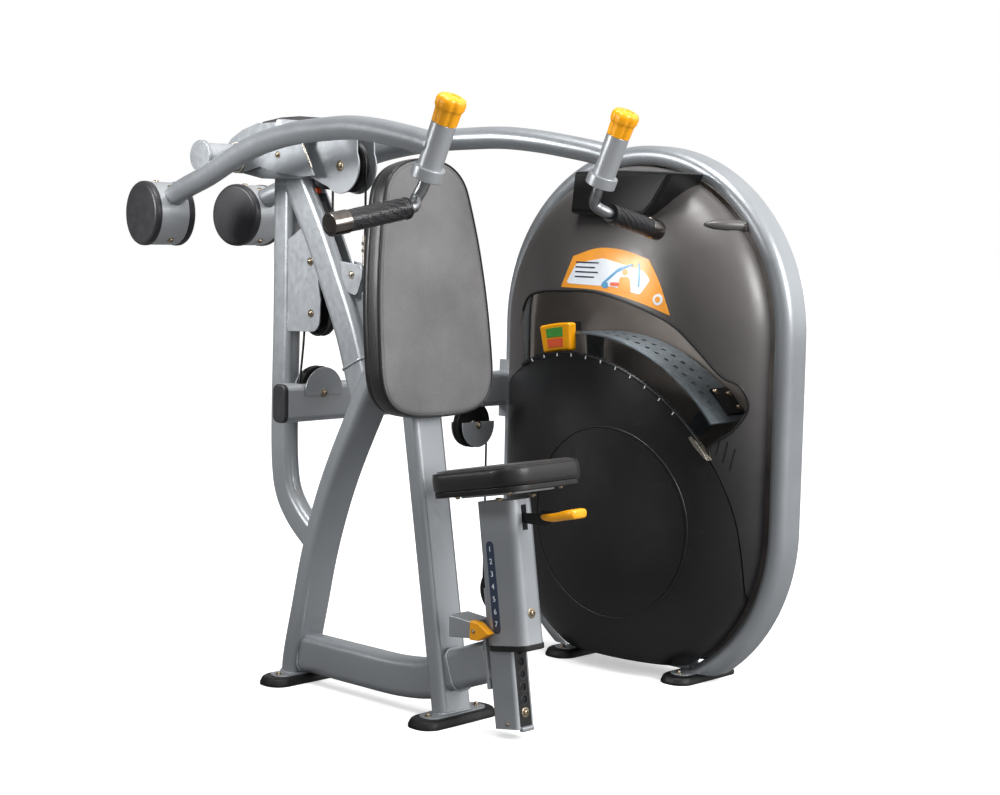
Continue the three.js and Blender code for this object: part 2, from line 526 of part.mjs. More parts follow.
const axleAt = (x) => vec(x, AXLE.y, AXLE.z);
const mast = box(800, 816, AXLE.y - 40, AXLE.y + 40, 60, AXLE.z + 45);
const floorBeam = box(786, 834, RING.y - footReach + 6, RING.y + footReach - 6, FOOT.height + GAP, 80);
addPart('tower_beam', cut(join(floorBeam, mast), ringTube(GAP),
  roundBar(axleAt(700), axleAt(900), AXLE.radius + GAP, 20)), SILVER);
addPart('weight_axle', roundBar(axleAt(668), axleAt(832), AXLE.radius, 20), STEEL);

// ---------------------------------------------------------------- shroud

// The ring's inside is a stadium: two half circles joined by upright sides.
function stadium(radius) {
  const shape = new THREE.Shape();
  shape.absarc(RING.y, RING.highZ, radius, 0, Math.PI, false);
  shape.absarc(RING.y, RING.lowZ, radius, Math.PI, 2 * Math.PI, false);
  shape.closePath();
  return shape;
}

function bulge(proud, skin) {
  const rise = SHROUD.rise + proud - skin;
  const geometry = sidePlate(stadium(SHROUD.crown), 0, 8, {
    bevelEnabled: true, bevelThickness: rise, bevelSize: SHROUD.radius - SHROUD.crown - skin, bevelSegments: 4,
    curveSegments: 10,
  });
  return geometry.translate(SHROUD.baseX, 0, 0);
}

const behindShroud = box(SHROUD.baseX, 1000, -800, 900, -100, 1500);
const underShroud = box(500, 1000, -800, 900, -200, SHROUD.floor);
const shroudShell = (proud) => cut(bulge(proud, 0), bulge(proud, SHROUD.skin), behindShroud, underShroud);
const railDisc = (radius) => roundBar(axleAt(500), axleAt(900), radius, 44);

// A sector about the weight arm's axle, between two radii and two angles in degrees.
function sector(inner, outer, from, to) {
  const shape = new THREE.Shape();
  const [a, b] = [from, to].map(THREE.MathUtils.degToRad);
  shape.absarc(AXLE.y, AXLE.z, outer, a, b, false);
  shape.absarc(AXLE.y, AXLE.z, inner, b, a, true);
  shape.closePath();
  return shape;
}

const windowCut = sidePlate(sector(RAIL_RADIUS - 40, WINDOW.radius, WINDOW.from, WINDOW.to), 560, 740);
addPart('shroud_upper', cut(shroudShell(0), railDisc(RAIL_RADIUS + 2), windowCut), CHARCOAL);
addPart('shroud_dome', common(shroudShell(0), railDisc(RAIL_RADIUS - 2)), BLACK_SHELL);

const BACK_SHELL = { near: 838, far: 886, radius: 420 };
const backPan = (skin) => sidePlate(stadium(BACK_SHELL.radius - 40), BACK_SHELL.near - 10, BACK_SHELL.near + 4, {
  bevelEnabled: true, bevelThickness: 44 - skin, bevelSize: 40 - skin, bevelSegments: 2, curveSegments: 8,
});
addPart('shroud_back', cut(backPan(0), backPan(SHROUD.skin), box(700, BACK_SHELL.near, -800, 900, -100, 1500),
  underShroud), CHARCOAL);

const podOutline = new THREE.Shape([[202, 1262], [-60, 1258], [-122, 1330], [-150, 1374], [190, 1376]]
  .map(([y, z]) => new THREE.Vector2(y, z)).reverse());
addPart('sign_pod', cut(sidePlate(podOutline, 630, 762), bulge(GAP, -GAP)), BLACK_SHELL);

// ---------------------------------------------------------------- weight arm inside the tower

const band = sidePlate(sector(BAND.radius - BAND.thickness, BAND.radius, BAND.from, BAND.to),
  BAND.near, BAND.far, { curveSegments: 20 });
const spokes = [[84, 90], [132, 138]].map(([from, to]) => sidePlate(
  sector(30, BAND.radius - 2, from, to), 736, 744, { curveSegments: 2 }));
const hub = roundBar(axleAt(724), axleAt(764), 46, 22);
addPart('lift_arm', cut(join(band, ...spokes, hub), roundBar(axleAt(600), axleAt(900), AXLE.radius + GAP, 20)), ZINC);

const WEIGHT_DISC = { y: 46, z: 427, radius: 232, near: 690, far: 721 };
const discAt = (x) => vec(x, WEIGHT_DISC.y, WEIGHT_DISC.z);
addPart('weight_plate', cut(roundBar(discAt(WEIGHT_DISC.near), discAt(WEIGHT_DISC.far), WEIGHT_DISC.radius, 32),
  roundBar(axleAt(600), axleAt(900), AXLE.radius + 2, 20)), STEEL);

const selectorBlock = sidePlate(sector(524, 606, 75, 88), 636, BAND.near - GAP, { curveSegments: 3 });
const selectorHook = sidePlate(sector(BAND.radius + 2, 606, 77, 86), BAND.near - 2, 700, { curveSegments: 3 });
addPart('selector', join(selectorBlock, selectorHook), YELLOW);

export default machine;
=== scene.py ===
"""Looks of the seated shoulder press machine. Shapes are in millimetres, built in metres."""

import math

import bmesh
import bpy
import numpy as np
from mathutils import Matrix, Vector


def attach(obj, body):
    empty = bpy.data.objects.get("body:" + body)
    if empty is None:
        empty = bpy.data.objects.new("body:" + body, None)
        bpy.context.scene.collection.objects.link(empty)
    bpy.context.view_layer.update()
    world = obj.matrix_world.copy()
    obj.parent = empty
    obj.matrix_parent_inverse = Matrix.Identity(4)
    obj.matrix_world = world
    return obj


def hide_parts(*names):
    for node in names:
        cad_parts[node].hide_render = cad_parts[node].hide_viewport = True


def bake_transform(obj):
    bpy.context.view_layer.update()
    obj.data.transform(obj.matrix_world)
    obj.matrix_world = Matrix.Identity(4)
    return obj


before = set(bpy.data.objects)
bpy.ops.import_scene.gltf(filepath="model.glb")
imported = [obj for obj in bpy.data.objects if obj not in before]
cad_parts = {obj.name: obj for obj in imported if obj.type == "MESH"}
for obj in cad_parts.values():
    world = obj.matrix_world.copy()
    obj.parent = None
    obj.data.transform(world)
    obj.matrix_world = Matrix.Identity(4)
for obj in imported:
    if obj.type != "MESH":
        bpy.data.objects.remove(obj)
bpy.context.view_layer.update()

MM = 0.001
X, Y, Z = np.eye(3)
PIECE_WELD, CUTTER_WELD, CUSHION_WELD, SLIVER = 1e-6, 1e-7, 2e-4, 1e-7
BEVEL_ABOVE = 35


# ---------------------------------------------------------------- materials

def linear(r, g, b):
    def channel(c):
        c /= 255.0
        return c / 12.92 if c <= 0.04045 else ((c + 0.055) / 1.055) ** 2.4
    return (channel(r), channel(g), channel(b), 1.0)


class Graph:
    """A short way to lay out shader nodes."""

    def __init__(self, name):
        self.material = bpy.data.materials.new(name)
        self.material.use_nodes = True
        self.nodes = self.material.node_tree.nodes
        self.links = self.material.node_tree.links
        self.shader = next(n for n in self.nodes if n.type == "BSDF_PRINCIPLED")
        self.coords = self.nodes.new("ShaderNodeTexCoord").outputs["Object"]

    def join(self, value, socket):
        if isinstance(value, bpy.types.NodeSocket):
            self.links.new(value, socket)
        else:
            socket.default_value = value

    def noise(self, scale, detail=3.0, rough=0.55, vector=None):
        node = self.nodes.new("ShaderNodeTexNoise")
        node.inputs["Scale"].default_value = scale
        node.inputs["Detail"].default_value = detail
        node.inputs["Roughness"].default_value = rough
        self.join(vector or self.coords, node.inputs["Vector"])
        return node.outputs["Fac"]

    def cells(self, scale, output="Distance", randomness=1.0, feature="F1", vector=None):
        node = self.nodes.new("ShaderNodeTexVoronoi")
        node.feature = feature
        node.inputs["Scale"].default_value = scale
        node.inputs["Randomness"].default_value = randomness
        self.join(vector or self.coords, node.inputs["Vector"])
        return node.outputs[output]

    def stretched(self, scale):
        node = self.nodes.new("ShaderNodeMapping")
        node.inputs["Scale"].default_value = scale
        self.join(self.coords, node.inputs["Vector"])
        return node.outputs["Vector"]

    def remap(self, value, low, high, to_low=0.0, to_high=1.0, smooth=False):
        node = self.nodes.new("ShaderNodeMapRange")
        node.interpolation_type = "SMOOTHSTEP" if smooth else "LINEAR"
        for key, number in zip(("From Min", "From Max", "To Min", "To Max"), (low, high, to_low, to_high)):
            node.inputs[key].default_value = number
        self.join(value, node.inputs["Value"])
        return node.outputs["Result"]

    def math(self, operation, a, b=0.0):
        node = self.nodes.new("ShaderNodeMath")
        node.operation = operation
        self.join(a, node.inputs[0])
        self.join(b, node.inputs[1])
        return node.outputs[0]

    def mix(self, factor, a, b, blend="MIX"):
        node = self.nodes.new("ShaderNodeMix")
        node.data_type = "RGBA"
        node.blend_type = blend
        for index, value in ((0, factor), (6, a), (7, b)):
            if index and np.isscalar(value):
                value = (value, value, value, 1.0)
            self.join(value, node.inputs[index])
        return node.outputs[2]

    def axis(self, name):
        node = self.nodes.new("ShaderNodeSeparateXYZ")
        self.join(self.coords, node.inputs[0])
        return node.outputs[name]

    def worn_edges(self):
        node = self.nodes.new("ShaderNodeNewGeometry")
        return self.remap(node.outputs["Pointiness"], 0.53, 0.60)

    def set(self, **values):
        for key, value in values.items():
            self.join(value, self.shader.inputs[key.replace("_", " ")])
        return self

    def bump(self, height, distance, strength=1.0, under=None):
        node = self.nodes.new("ShaderNodeBump")
        node.inputs["Strength"].default_value = strength
        node.inputs["Distance"].default_value = distance
        self.join(height, node.inputs["Height"])
        if under is not None:
            self.join(under, node.inputs["Normal"])
        self.join(node.outputs["Normal"], self.shader.inputs["Normal"])
        return node.outputs["Normal"]


class Look:
    """A material and the record's slot it stands for."""

    def __init__(self, graph, slot):
        self.material, self.slot = graph.material, slot


def powder_coat(name, colour, slot, metallic=0.5, rough=0.38, dark=0.86):
    """Sprayed metallic paint: fine flakes, a faint orange-peel surface and broad uneven tone."""
    g = Graph(name)
    tone = g.remap(g.noise(3.0, 2.0), 0.35, 0.65, dark, 1.04)
    flakes = g.remap(g.cells(2600.0), 0.0, 0.6, 1.10, 0.93)
    shade = g.mix(1.0, colour, g.math("MULTIPLY", tone, flakes), "MULTIPLY")
    worn = g.mix(g.math("MULTIPLY", g.worn_edges(), 0.35), shade, linear(214, 216, 218))
    g.set(Base_Color=worn, Metallic=metallic)
    g.set(Roughness=g.remap(g.noise(60.0), 0.3, 0.7, rough - 0.05, rough + 0.06))
    g.set(Coat_Weight=0.12, Coat_Roughness=0.25)
    g.bump(g.noise(420.0, 2.0), 0.00012, 0.5, g.bump(g.noise(90.0, 2.0), 0.0002, 0.25))
    return Look(g, slot)


def moulded(name, colour, slot, rough=0.45, grain=900.0, depth=0.00015, coat=0.0, dust=0.04):
    """Injection-moulded plastic or rubber: a fine texture, uneven gloss and a trace of dust."""
    g = Graph(name)
    tone = g.remap(g.noise(9.0, 4.0), 0.3, 0.7, 0.88, 1.10)
    shade = g.mix(1.0, colour, tone, "MULTIPLY")
    dusty = g.mix(g.remap(g.noise(26.0, 6.0, 0.7), 0.5, 0.8, 0.0, dust), shade, linear(150, 148, 144))
    g.set(Base_Color=dusty, Roughness=g.remap(g.noise(40.0, 5.0), 0.25, 0.75, rough - 0.07, rough + 0.09))
    g.set(Coat_Weight=coat, Coat_Roughness=0.18, Specular_IOR_Level=0.34)
    g.bump(g.cells(grain), depth, 0.5)
    return Look(g, slot)


def printed(name, colour, slot="yellow_plastic"):
    """The flat glossy colour of a label."""
    return moulded(name, colour, slot, 0.35, 1500.0, 0.00003, 0.3)


def bare_metal(name, colour, slot, rough=0.28, stretch=(30.0, 30.0, 600.0)):
    """Plated or brushed metal: fine drawn lines and light tarnish."""
    g = Graph(name)
    lines = g.noise(1.0, 3.0, 0.6, g.stretched(stretch))
    stain = g.remap(g.noise(70.0, 5.0), 0.35, 0.75, 1.0, 0.72)
    g.set(Base_Color=g.mix(1.0, colour, stain, "MULTIPLY"), Metallic=1.0)
    g.set(Roughness=g.remap(lines, 0.3, 0.7, rough - 0.07, rough + 0.10))
    g.bump(lines, 0.00006, 0.4)
    return Look(g, slot)


def galvanised(name, slot):
    """Zinc-coated steel with its crystal spangle."""
    g = Graph(name)
    spangle = g.cells(90.0, "Color")
    grey = g.remap(g.math("MULTIPLY", spangle, 1.0), 0.0, 1.0, 0.80, 1.12)
    streak = g.remap(g.noise(22.0, 5.0), 0.3, 0.7, 0.86, 1.08)
    g.set(Base_Color=g.mix(1.0, linear(132, 142, 148), g.math("MULTIPLY", grey, streak), "MULTIPLY"))
    g.set(Metallic=0.85, Roughness=g.remap(g.noise(120.0), 0.3, 0.7, 0.34, 0.50))
    g.bump(g.noise(200.0, 3.0), 0.0001, 0.4)
    return Look(g, slot)


def vinyl(name, low, high, slot, rough, grain=1.0):
    """Upholstery vinyl: pebbled leather grain, creases between the pebbles, soft sheen."""
    g = Graph(name)
    pebbles = g.cells(760.0 * grain, feature="SMOOTH_F1")
    creases = g.cells(420.0 * grain, feature="DISTANCE_TO_EDGE")
    fold = g.noise(34.0, 5.0, 0.6)
    tone = g.remap(g.noise(5.0, 3.0), 0.3, 0.7)
    colour = g.mix(tone, low, high)
    speck = g.mix(g.remap(pebbles, 0.2, 0.7, 0.0, 0.35), colour, linear(24, 24, 25))
    g.set(Base_Color=speck, Roughness=g.remap(creases, 0.0, 0.25, rough + 0.12, rough - 0.04))
    g.set(Sheen_Weight=0.08, Sheen_Roughness=0.5, Coat_Weight=0.04, Specular_IOR_Level=0.36)
    first = g.bump(creases, 0.0003, 0.35)
    second = g.bump(pebbles, 0.0004, 0.55, first)
    g.bump(fold, 0.0012, 0.12, second)
    return Look(g, slot)


def knurled_rubber(name, slot):
    """Grip rubber with a diamond tread, its sunken grooves painted darker as shade."""
    g = Graph(name)
    tread = g.cells(210.0, feature="DISTANCE_TO_EDGE", randomness=0.35)
    fine = g.noise(700.0, 3.0)
    # painted shade: the grooves of the tread are coloured darker than the raised diamonds
    g.set(Base_Color=g.mix(g.remap(tread, 0.0, 0.3), linear(10, 10, 12), linear(34, 34, 38)))
    g.set(Roughness=g.remap(fine, 0.3, 0.7, 0.26, 0.42), Coat_Weight=0.12, Specular_IOR_Level=0.4)
    g.bump(g.remap(tread, 0.02, 0.16), 0.0009, 0.8, g.bump(fine, 0.0002, 0.5))
    return Look(g, slot)


def shell_plastic(name, top, shaded_bottom, z_top, z_bottom, slot, rough):
    """The tower's satin shell with a leathery moulded texture; its colour grows darker towards the floor,
    which is painted shade.
    """
    g = Graph(name)
    # painted shade: the colour runs from the top colour at z_top down to the darker bottom colour at z_bottom
    height = g.remap(g.axis("Z"), z_bottom, z_top, 0.0, 1.0, smooth=True)
    tone = g.remap(g.noise(4.0, 4.0), 0.3, 0.7, 0.90, 1.10)
    colour = g.mix(1.0, g.mix(height, shaded_bottom, top), tone, "MULTIPLY")
    scuffs = g.remap(g.noise(1.0, 6.0, 0.7, g.stretched((60.0, 12.0, 60.0))), 0.62, 0.80, 0.0, 0.10)
    g.set(Base_Color=g.mix(scuffs, colour, linear(120, 118, 116)), Metallic=0.12)
    g.set(Roughness=g.remap(g.noise(30.0, 5.0), 0.25, 0.75, rough - 0.06, rough + 0.08))
    g.set(Coat_Weight=0.18, Coat_Roughness=0.32)
    g.bump(g.cells(1100.0), 0.00012, 0.35, g.bump(g.noise(14.0, 3.0), 0.0010, 0.10))
    return Look(g, slot)


SILVER = powder_coat("silver_coat", linear(156, 160, 164), "frame_silver", 0.5, 0.34)
RUBBER = moulded("black_rubber_mould", linear(14, 14, 15), "black_rubber", 0.5, 700.0)
CAP_RUBBER = moulded("cap_rubber", linear(40, 40, 43), "black_rubber", 0.42, 1300.0, 0.0001, 0.1)
PAD_FRONT = vinyl("pad_front_vinyl", linear(98, 97, 98), linear(120, 119, 120), "black_vinyl", 0.55)
PAD_SIDE = vinyl("pad_side_vinyl", linear(13, 13, 14), linear(19, 19, 20), "black_vinyl", 0.32)
SEAT_TOP = vinyl("seat_top_vinyl", linear(16, 16, 17), linear(23, 23, 24), "black_vinyl", 0.30)
BACKING = moulded("pad_backing_shell", linear(18, 18, 19), "pad_backing", 0.36)
# Painted shade: the charcoal cover darkens to near-black towards the floor, and the dome below darkens
# further.
CHARCOAL = shell_plastic("charcoal_shell", linear(84, 81, 80), linear(26, 25, 26), 1.10, 0.45,
                         "charcoal_shell", 0.34)
DOME = shell_plastic("dome_shell", linear(22, 21, 22), linear(13, 13, 14), 0.85, 0.20,
                     "black_shell", 0.36)
BLACK = moulded("black_shell_mould", linear(18, 18, 19), "black_shell", 0.34)
YELLOW = moulded("yellow_mould", linear(240, 162, 2), "yellow_plastic", 0.36, 1200.0, 0.00008, 0.25, 0.02)
NYLON = moulded("pulley_nylon_mould", linear(17, 17, 18), "pulley_nylon", 0.34)
STEEL = bare_metal("bright_steel", linear(196, 190, 176), "bright_steel")
HANDLE = bare_metal("handle_steel", linear(150, 152, 154), "bright_steel", 0.34)
BRASS = bare_metal("plated_bolt", linear(168, 154, 134), "bright_steel", 0.24)
DARK_CHROME = bare_metal("dark_chrome", linear(112, 106, 102), "bright_steel", 0.16)
ZINC = galvanised("galvanised_band", "galvanised")
IRON = moulded("weight_iron_paint", linear(46, 45, 45), "weight_iron", 0.55, 500.0, 0.0003)
GRIP = knurled_rubber("grip_tread", "black_rubber")
CABLE = moulded("cable_jacket", linear(16, 16, 17), "cable_black", 0.30, 600.0)
WALL = moulded("inner_wall", linear(126, 120, 115), "charcoal_shell", 0.5, 300.0, 0.0002, 0.0, 0.15)
ORANGE = printed("placard_orange", linear(244, 160, 48))
WHITE = printed("placard_white", linear(232, 238, 244))
BLUE = printed("placard_blue", linear(72, 150, 196))
RED = printed("mark_red", linear(226, 92, 50))
GREEN = printed("mark_green", linear(70, 150, 62))
NAVY = printed("scale_navy", linear(38, 52, 74), "black_shell")
THREAD = moulded("seam_thread", linear(70, 70, 72), "black_vinyl", 0.6, 900.0)


# ---------------------------------------------------------------- shapes, in millimetres

def merged(shapes):
    verts, faces = [], []
    for points, polygons in shapes:
        faces += [tuple(i + len(verts) for i in polygon) for polygon in polygons]
        verts += [tuple(p) for p in points]
    return verts, faces


def quads(rows, n):
    """Faces that join a stack of rows, each a closed loop of n points."""
    return [(r * n + k, r * n + (k + 1) % n, (r + 1) * n + (k + 1) % n, (r + 1) * n + k)
            for r in range(rows - 1) for k in range(n)]


def capped(rows, n):
    """The same, with the first and the last loop closed by a face."""
    return quads(rows, n) + [tuple(range(n)), tuple(range((rows - 1) * n, rows * n))]


def plain_mesh(name, verts, faces):
    mesh = bpy.data.meshes.new(name)
    mesh.from_pydata([tuple(c * MM for c in v) for v in verts], [], faces)
    return mesh


def clean(mesh, weld, drop_slivers=False):
    """Joins points closer than weld metres and turns every face outwards."""
    bm = bmesh.new()
    bm.from_mesh(mesh)
    bmesh.ops.remove_doubles(bm, verts=bm.verts, dist=weld)
    if drop_slivers:
        bmesh.ops.dissolve_degenerate(bm, edges=bm.edges, dist=SLIVER)
    bmesh.ops.recalc_face_normals(bm, faces=bm.faces)
    bm.to_mesh(mesh)
    bm.free()


def added(name, data):
    """A new object in the scene that holds the data."""
    obj = bpy.data.objects.new(name, data)
    bpy.context.scene.collection.objects.link(obj)
    return obj


def piece(name, shapes, look, body, stands_for=(), sharp=38.0, bevel=0.0):
    """One named mesh made of the given shapes, in place on its body."""
    mesh = plain_mesh(name, *merged(shapes))
    clean(mesh, PIECE_WELD, True)
    obj = added(name, mesh)
    mesh.materials.append(look.material)
    if bevel:
        rounding = obj.modifiers.new("rounding", "BEVEL")
        rounding.width, rounding.segments, rounding.limit_method = bevel * MM, 3, "ANGLE"
        rounding.angle_limit = math.radians(BEVEL_ABOVE)
        bake(obj)
    finish_surface(obj, sharp)
    if body:
        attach(obj, body)
    if stands_for:
        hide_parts(*stands_for)
    return obj


def finish_surface(obj, sharp):
    """Smooth shading that keeps flat faces flat and edges above the sharp angle crisp."""
    obj.data.shade_smooth()
    obj.data.set_sharp_from_angle(angle=math.radians(sharp))
    if not obj.modifiers:
        obj.modifiers.new("flat_faces", "WEIGHTED_NORMAL").keep_sharp = True


def bake(obj):
    """Applies an object's modifiers to its mesh."""
    graph = bpy.context.evaluated_depsgraph_get()
    graph.update()
    mesh = bpy.data.meshes.new_from_object(obj.evaluated_get(graph), depsgraph=graph)
    obj.modifiers.clear()
    obj.data = mesh


def carve(obj, shapes, operation="DIFFERENCE", sharp=38.0):
    """Cuts closed shapes out of obj, or keeps only what lies inside them."""
    cutter_mesh = plain_mesh("cutter", *merged(shapes))
    clean(cutter_mesh, CUTTER_WELD)
    cutter = added("cutter", cutter_mesh)
    obj.modifiers.clear()
    cut = obj.modifiers.new("cut", "BOOLEAN")
    cut.object, cut.operation, cut.solver = cutter, operation, "EXACT"
    bake(obj)
    bpy.data.objects.remove(cutter)
    finish_surface(obj, sharp)
    return obj


def unit(v):
    v = np.asarray(v, float)
    return v / np.linalg.norm(v)


def rounded(width, depth, corner, n=8):
    """Rounded rectangle, as (across, along) points."""
    corner = min(corner, width / 2 - 0.01, depth / 2 - 0.01)
    points = []
    for quarter, (sx, sy) in enumerate(((1, 1), (-1, 1), (-1, -1), (1, -1))):
        for i in range(n + 1):
            a = (quarter + i / n) * math.pi / 2
            points.append((sx * (width / 2 - corner) + corner * math.cos(a),
                           sy * (depth / 2 - corner) + corner * math.sin(a)))
    return points


def ring_of(radius, n=24):
    turns = np.linspace(0, 2 * math.pi, n, endpoint=False)
    return [(radius * math.cos(t), radius * math.sin(t)) for t in turns]


def arc(cy, cz, radius, start, end, n=16):
    """Points on an arc, angles in degrees."""
    turns = np.radians(np.linspace(start, end, n))
    return [(cy + radius * math.cos(t), cz + radius * math.sin(t)) for t in turns]


def catmull(points, per=10):
    """A smooth centripetal curve through the points."""
    p = np.asarray(points, float)
    p = np.vstack([2 * p[0] - p[1], p, 2 * p[-1] - p[-2]])
    out = []
    for a, b, c, d in zip(p[:-3], p[1:-2], p[2:-1], p[3:]):
        steps = [max(np.linalg.norm(q - r), 1e-6) ** 0.5 for q, r in ((b, a), (c, b), (d, c))]
        t = np.cumsum([0.0] + steps)
        for u in np.linspace(t[1], t[2], per, endpoint=False):
            ab = (t[1] - u) / (t[1] - t[0]) * a + (u - t[0]) / (t[1] - t[0]) * b
            bc = (t[2] - u) / (t[2] - t[1]) * b + (u - t[1]) / (t[2] - t[1]) * c
            cd = (t[3] - u) / (t[3] - t[2]) * c + (u - t[2]) / (t[3] - t[2]) * d
            abc = (t[2] - u) / (t[2] - t[0]) * ab + (u - t[0]) / (t[2] - t[0]) * bc
            bcd = (t[3] - u) / (t[3] - t[1]) * bc + (u - t[1]) / (t[3] - t[1]) * cd
            out.append((t[2] - u) / (t[2] - t[1]) * abc + (u - t[1]) / (t[2] - t[1]) * bcd)
    out.append(p[-2])
    return np.array(out)


def mid(points):
    """(y, z) points in the machine's mid-plane."""
    return [(0.0, y, z) for y, z in points]


def sweep(path, section, side=X, closed=False, scales=None):
    """Carries a section along a path. The section's first direction stays near side."""
    path = np.asarray(path, float)
    count = len(path)
    tangents = np.gradient(path, axis=0)
    if closed:
        tangents = np.roll(path, -1, axis=0) - np.roll(path, 1, axis=0)
    verts = []
    for i, (p, t) in enumerate(zip(path, tangents)):
        t = unit(t)
        normal = unit(np.cross(t, side))
        across = np.cross(normal, t)
        k = 1.0 if scales is None else scales[i]
        verts += [p + k * a * across + k * b * normal for a, b in section]
    n = len(section)
    if not closed:
        return verts, capped(count, n)
    last = (count - 1) * n
    return verts, quads(count, n) + [(last + k, last + (k + 1) % n, (k + 1) % n, k) for k in range(n)]


def lathe(profile, origin, axis, n=48):
    """Turns (radius, height) points about an axis. The profile closes at radius 0 or on itself."""
    axis = unit(axis)
    side = unit(np.cross(axis, Y if abs(axis[1]) < 0.8 else X))
    other = np.cross(axis, side)
    angles = np.linspace(0, 2 * math.pi, n, endpoint=False)
    verts = []
    for r, h in profile:
        verts += [np.asarray(origin, float) + axis * h + r * (math.cos(a) * side + math.sin(a) * other)
                  for a in angles]
    return verts, quads(len(profile), n)


def disc(origin, axis, radius, height, edge=1.0, n=40):
    """A solid disc with softened rims, from origin along axis."""
    return lathe([(0, 0), (radius - edge, 0), (radius - edge * 0.3, edge * 0.3), (radius, edge),
                  (radius, height - edge), (radius - edge * 0.3, height - edge * 0.3),
                  (radius - edge, height), (0, height)], origin, axis, n)


def slab(outline, lo, hi, axis="x"):
    """Extrudes an outline. For axis x the outline is (y, z), for y it is (x, z), for z it is (x, y)."""
    places = {"x": lambda a, b, c: (c, a, b), "y": lambda a, b, c: (a, c, b), "z": lambda a, b, c: (a, b, c)}
    place = places[axis]
    n = len(outline)
    verts = [place(a, b, lo) for a, b in outline] + [place(a, b, hi) for a, b in outline]
    faces = [(k, (k + 1) % n, n + (k + 1) % n, n + k) for k in range(n)]
    return verts, faces + [tuple(range(n)), tuple(range(n, 2 * n))]


def block(x0, x1, y0, y1, z0, z1):
    return slab([(y0, z0), (y1, z0), (y1, z1), (y0, z1)], x0, x1)


def moved(shape, matrix):
    verts, faces = shape
    return [tuple(matrix @ Vector(v)) for v in verts], faces


def bolt(at, axis, radius=8.0):
    """A button-head bolt on a washer, with a round socket in the head."""
    profile = [(0, -2), (1.55, -2), (1.55, 1.2), (1.45, 1.8), (1, 1.8), (0.98, 3.4), (0.86, 5.2),
               (0.62, 6.6), (0.48, 6.8), (0.45, 4.2), (0, 4.2)]
    return lathe([(radius * share, height) for share, height in profile], at, axis, 28)


def bead(points, radius=3.4, closed=False):
    """A weld bead: a tube with the ripples of its passes."""
    path = catmull(points, 14) if not closed else np.asarray(points, float)
    scales = [1.0 + 0.16 * math.sin(i * 1.9) for i in range(len(path))]
    side = X if abs(unit(path[-1] - path[0])[0] if not closed else 0) < 0.9 else Y
    return sweep(path, ring_of(radius, 8), side, closed, scales)


# ---------------------------------------------------------------- driving places, as in the CAD

FOOT = (262, 96, 22)
SPINE_FULL = (68, 100, 24)
LEG, BEAM, SPINE, BASE = (102, 51, 16), (51, 102, 18), (51, 76, 20), (70, 102, 24)
REAR_LEG = [(583, 0), (578, 60), (545, 200), (500, 375), (434, 550), (330, 750), (220, 945)]
SPINE_LINE = [(600, 1338), (516, 1203), (447, 1075), (384, 948), (337, 822), (320, 780)]
UPRIGHT_LINE = [(652, 1337), (652, 1000), (652, 570), (634, 498), (592, 442), (530, 392), (510, 378)]
BASE_LINE = [(576, 78), (330, 78), (180, 80), (80, 92), (10, 112)]
BAR_Y, BAR_Z, BAR_LEFT, BAR_RIGHT = 572, 748, -80, 759
PIVOT = (0, 790, 1391)
ARM_LINE = [(1006, 1238), (935, 1287), (756, 1342), (631, 1385), (511, 1418), (365, 1440), (215, 1448),
            (114, 1449), (11, 1440), (-88, 1425), (-165, 1411), (-208, 1401)]
ARM_RADIUS, ARM_SPLAY, ARM_SPAN = 28.5, 0.1252, 302
SLEEVE = (-182, 1333, 134)
LEAN = math.radians(24.5)
SLEEVE_AXIS = np.array((0, -math.sin(LEAN), math.cos(LEAN)))
GRIP_INNER, GRIP_OUTER = (351, -173, 1261), (558, -156, 1222)
PRESS_AT, UPPER_AT, LOWER_AT = (0, 410, 1369), (0, 523, 1121), (0, 518, 986)
LEFT_AT, RIGHT_AT, FLOOR_AT = (40, BAR_Y, 776), (632, BAR_Y, 648), (695, 509, 158)
WIDE_PULLEY, SMALL_PULLEY = 67, 60
POST_SLOPE = 0.151
TOWER_X, RING_Y, RING_HIGH, RING_LOW, RING_R = 820, 77, 945, 436, 479.5
RING_END = 60
SHROUD_R, SHROUD_NEAR, SHROUD_RISE, SHROUD_POWER = 450, 615, 155, 2.6
AXLE_Y, AXLE_Z, RAIL_R, BAND_R = 171, 360, 517, 577
DISC_Y, DISC_Z = 43, 427


def arm_x(side, y):
    return side * (ARM_SPAN - (y + 208) * ARM_SPLAY)


def sleeve_at(side, height):
    return np.array((side * 299, SLEEVE[0], SLEEVE[1]), float) + SLEEVE_AXIS * height


def post_y(z):
    return -198 + (z - 120) * POST_SLOPE


def foot(name, x, y):
    """Rubber pad with a bevelled skirt and the bolted steel plate let into it."""
    outline = rounded(FOOT[0], FOOT[1], 42, 12)
    layers = [(1.0, 0), (1.0, 7), (0.985, 9), (0.975, 14), (0.95, 19), (0.91, FOOT[2])]
    verts = [(x + a * k, y + b - b * (1 - k) * 2.2, z) for k, z in layers for a, b in outline]
    piece(name, [(verts, capped(len(layers), len(outline)))], RUBBER, "frame", [name], 50)
    plate = [(x + a, y + b) for a, b in rounded(FOOT[0] - 60, FOOT[1] - 34, 28, 10)]
    piece(name + "_plate", [slab(plate, FOOT[2] - 3, FOOT[2] + 2.5, "z")], SILVER, "frame", bevel=1.0)
    piece(name + "_screws", [bolt((x + s * 84, y, FOOT[2] + 3.5), Z, 5.5) for s in (-1, 1)], BRASS, "frame")


foot("foot_front", 0, 0)
foot("foot_rear", 0, 570)
reach = RING_R * math.cos(math.radians(RING_END)) - 28
foot("foot_tower_front", TOWER_X, RING_Y - reach)
foot("foot_tower_rear", TOWER_X, RING_Y + reach)

# ---------------------------------------------------------------- seat frame

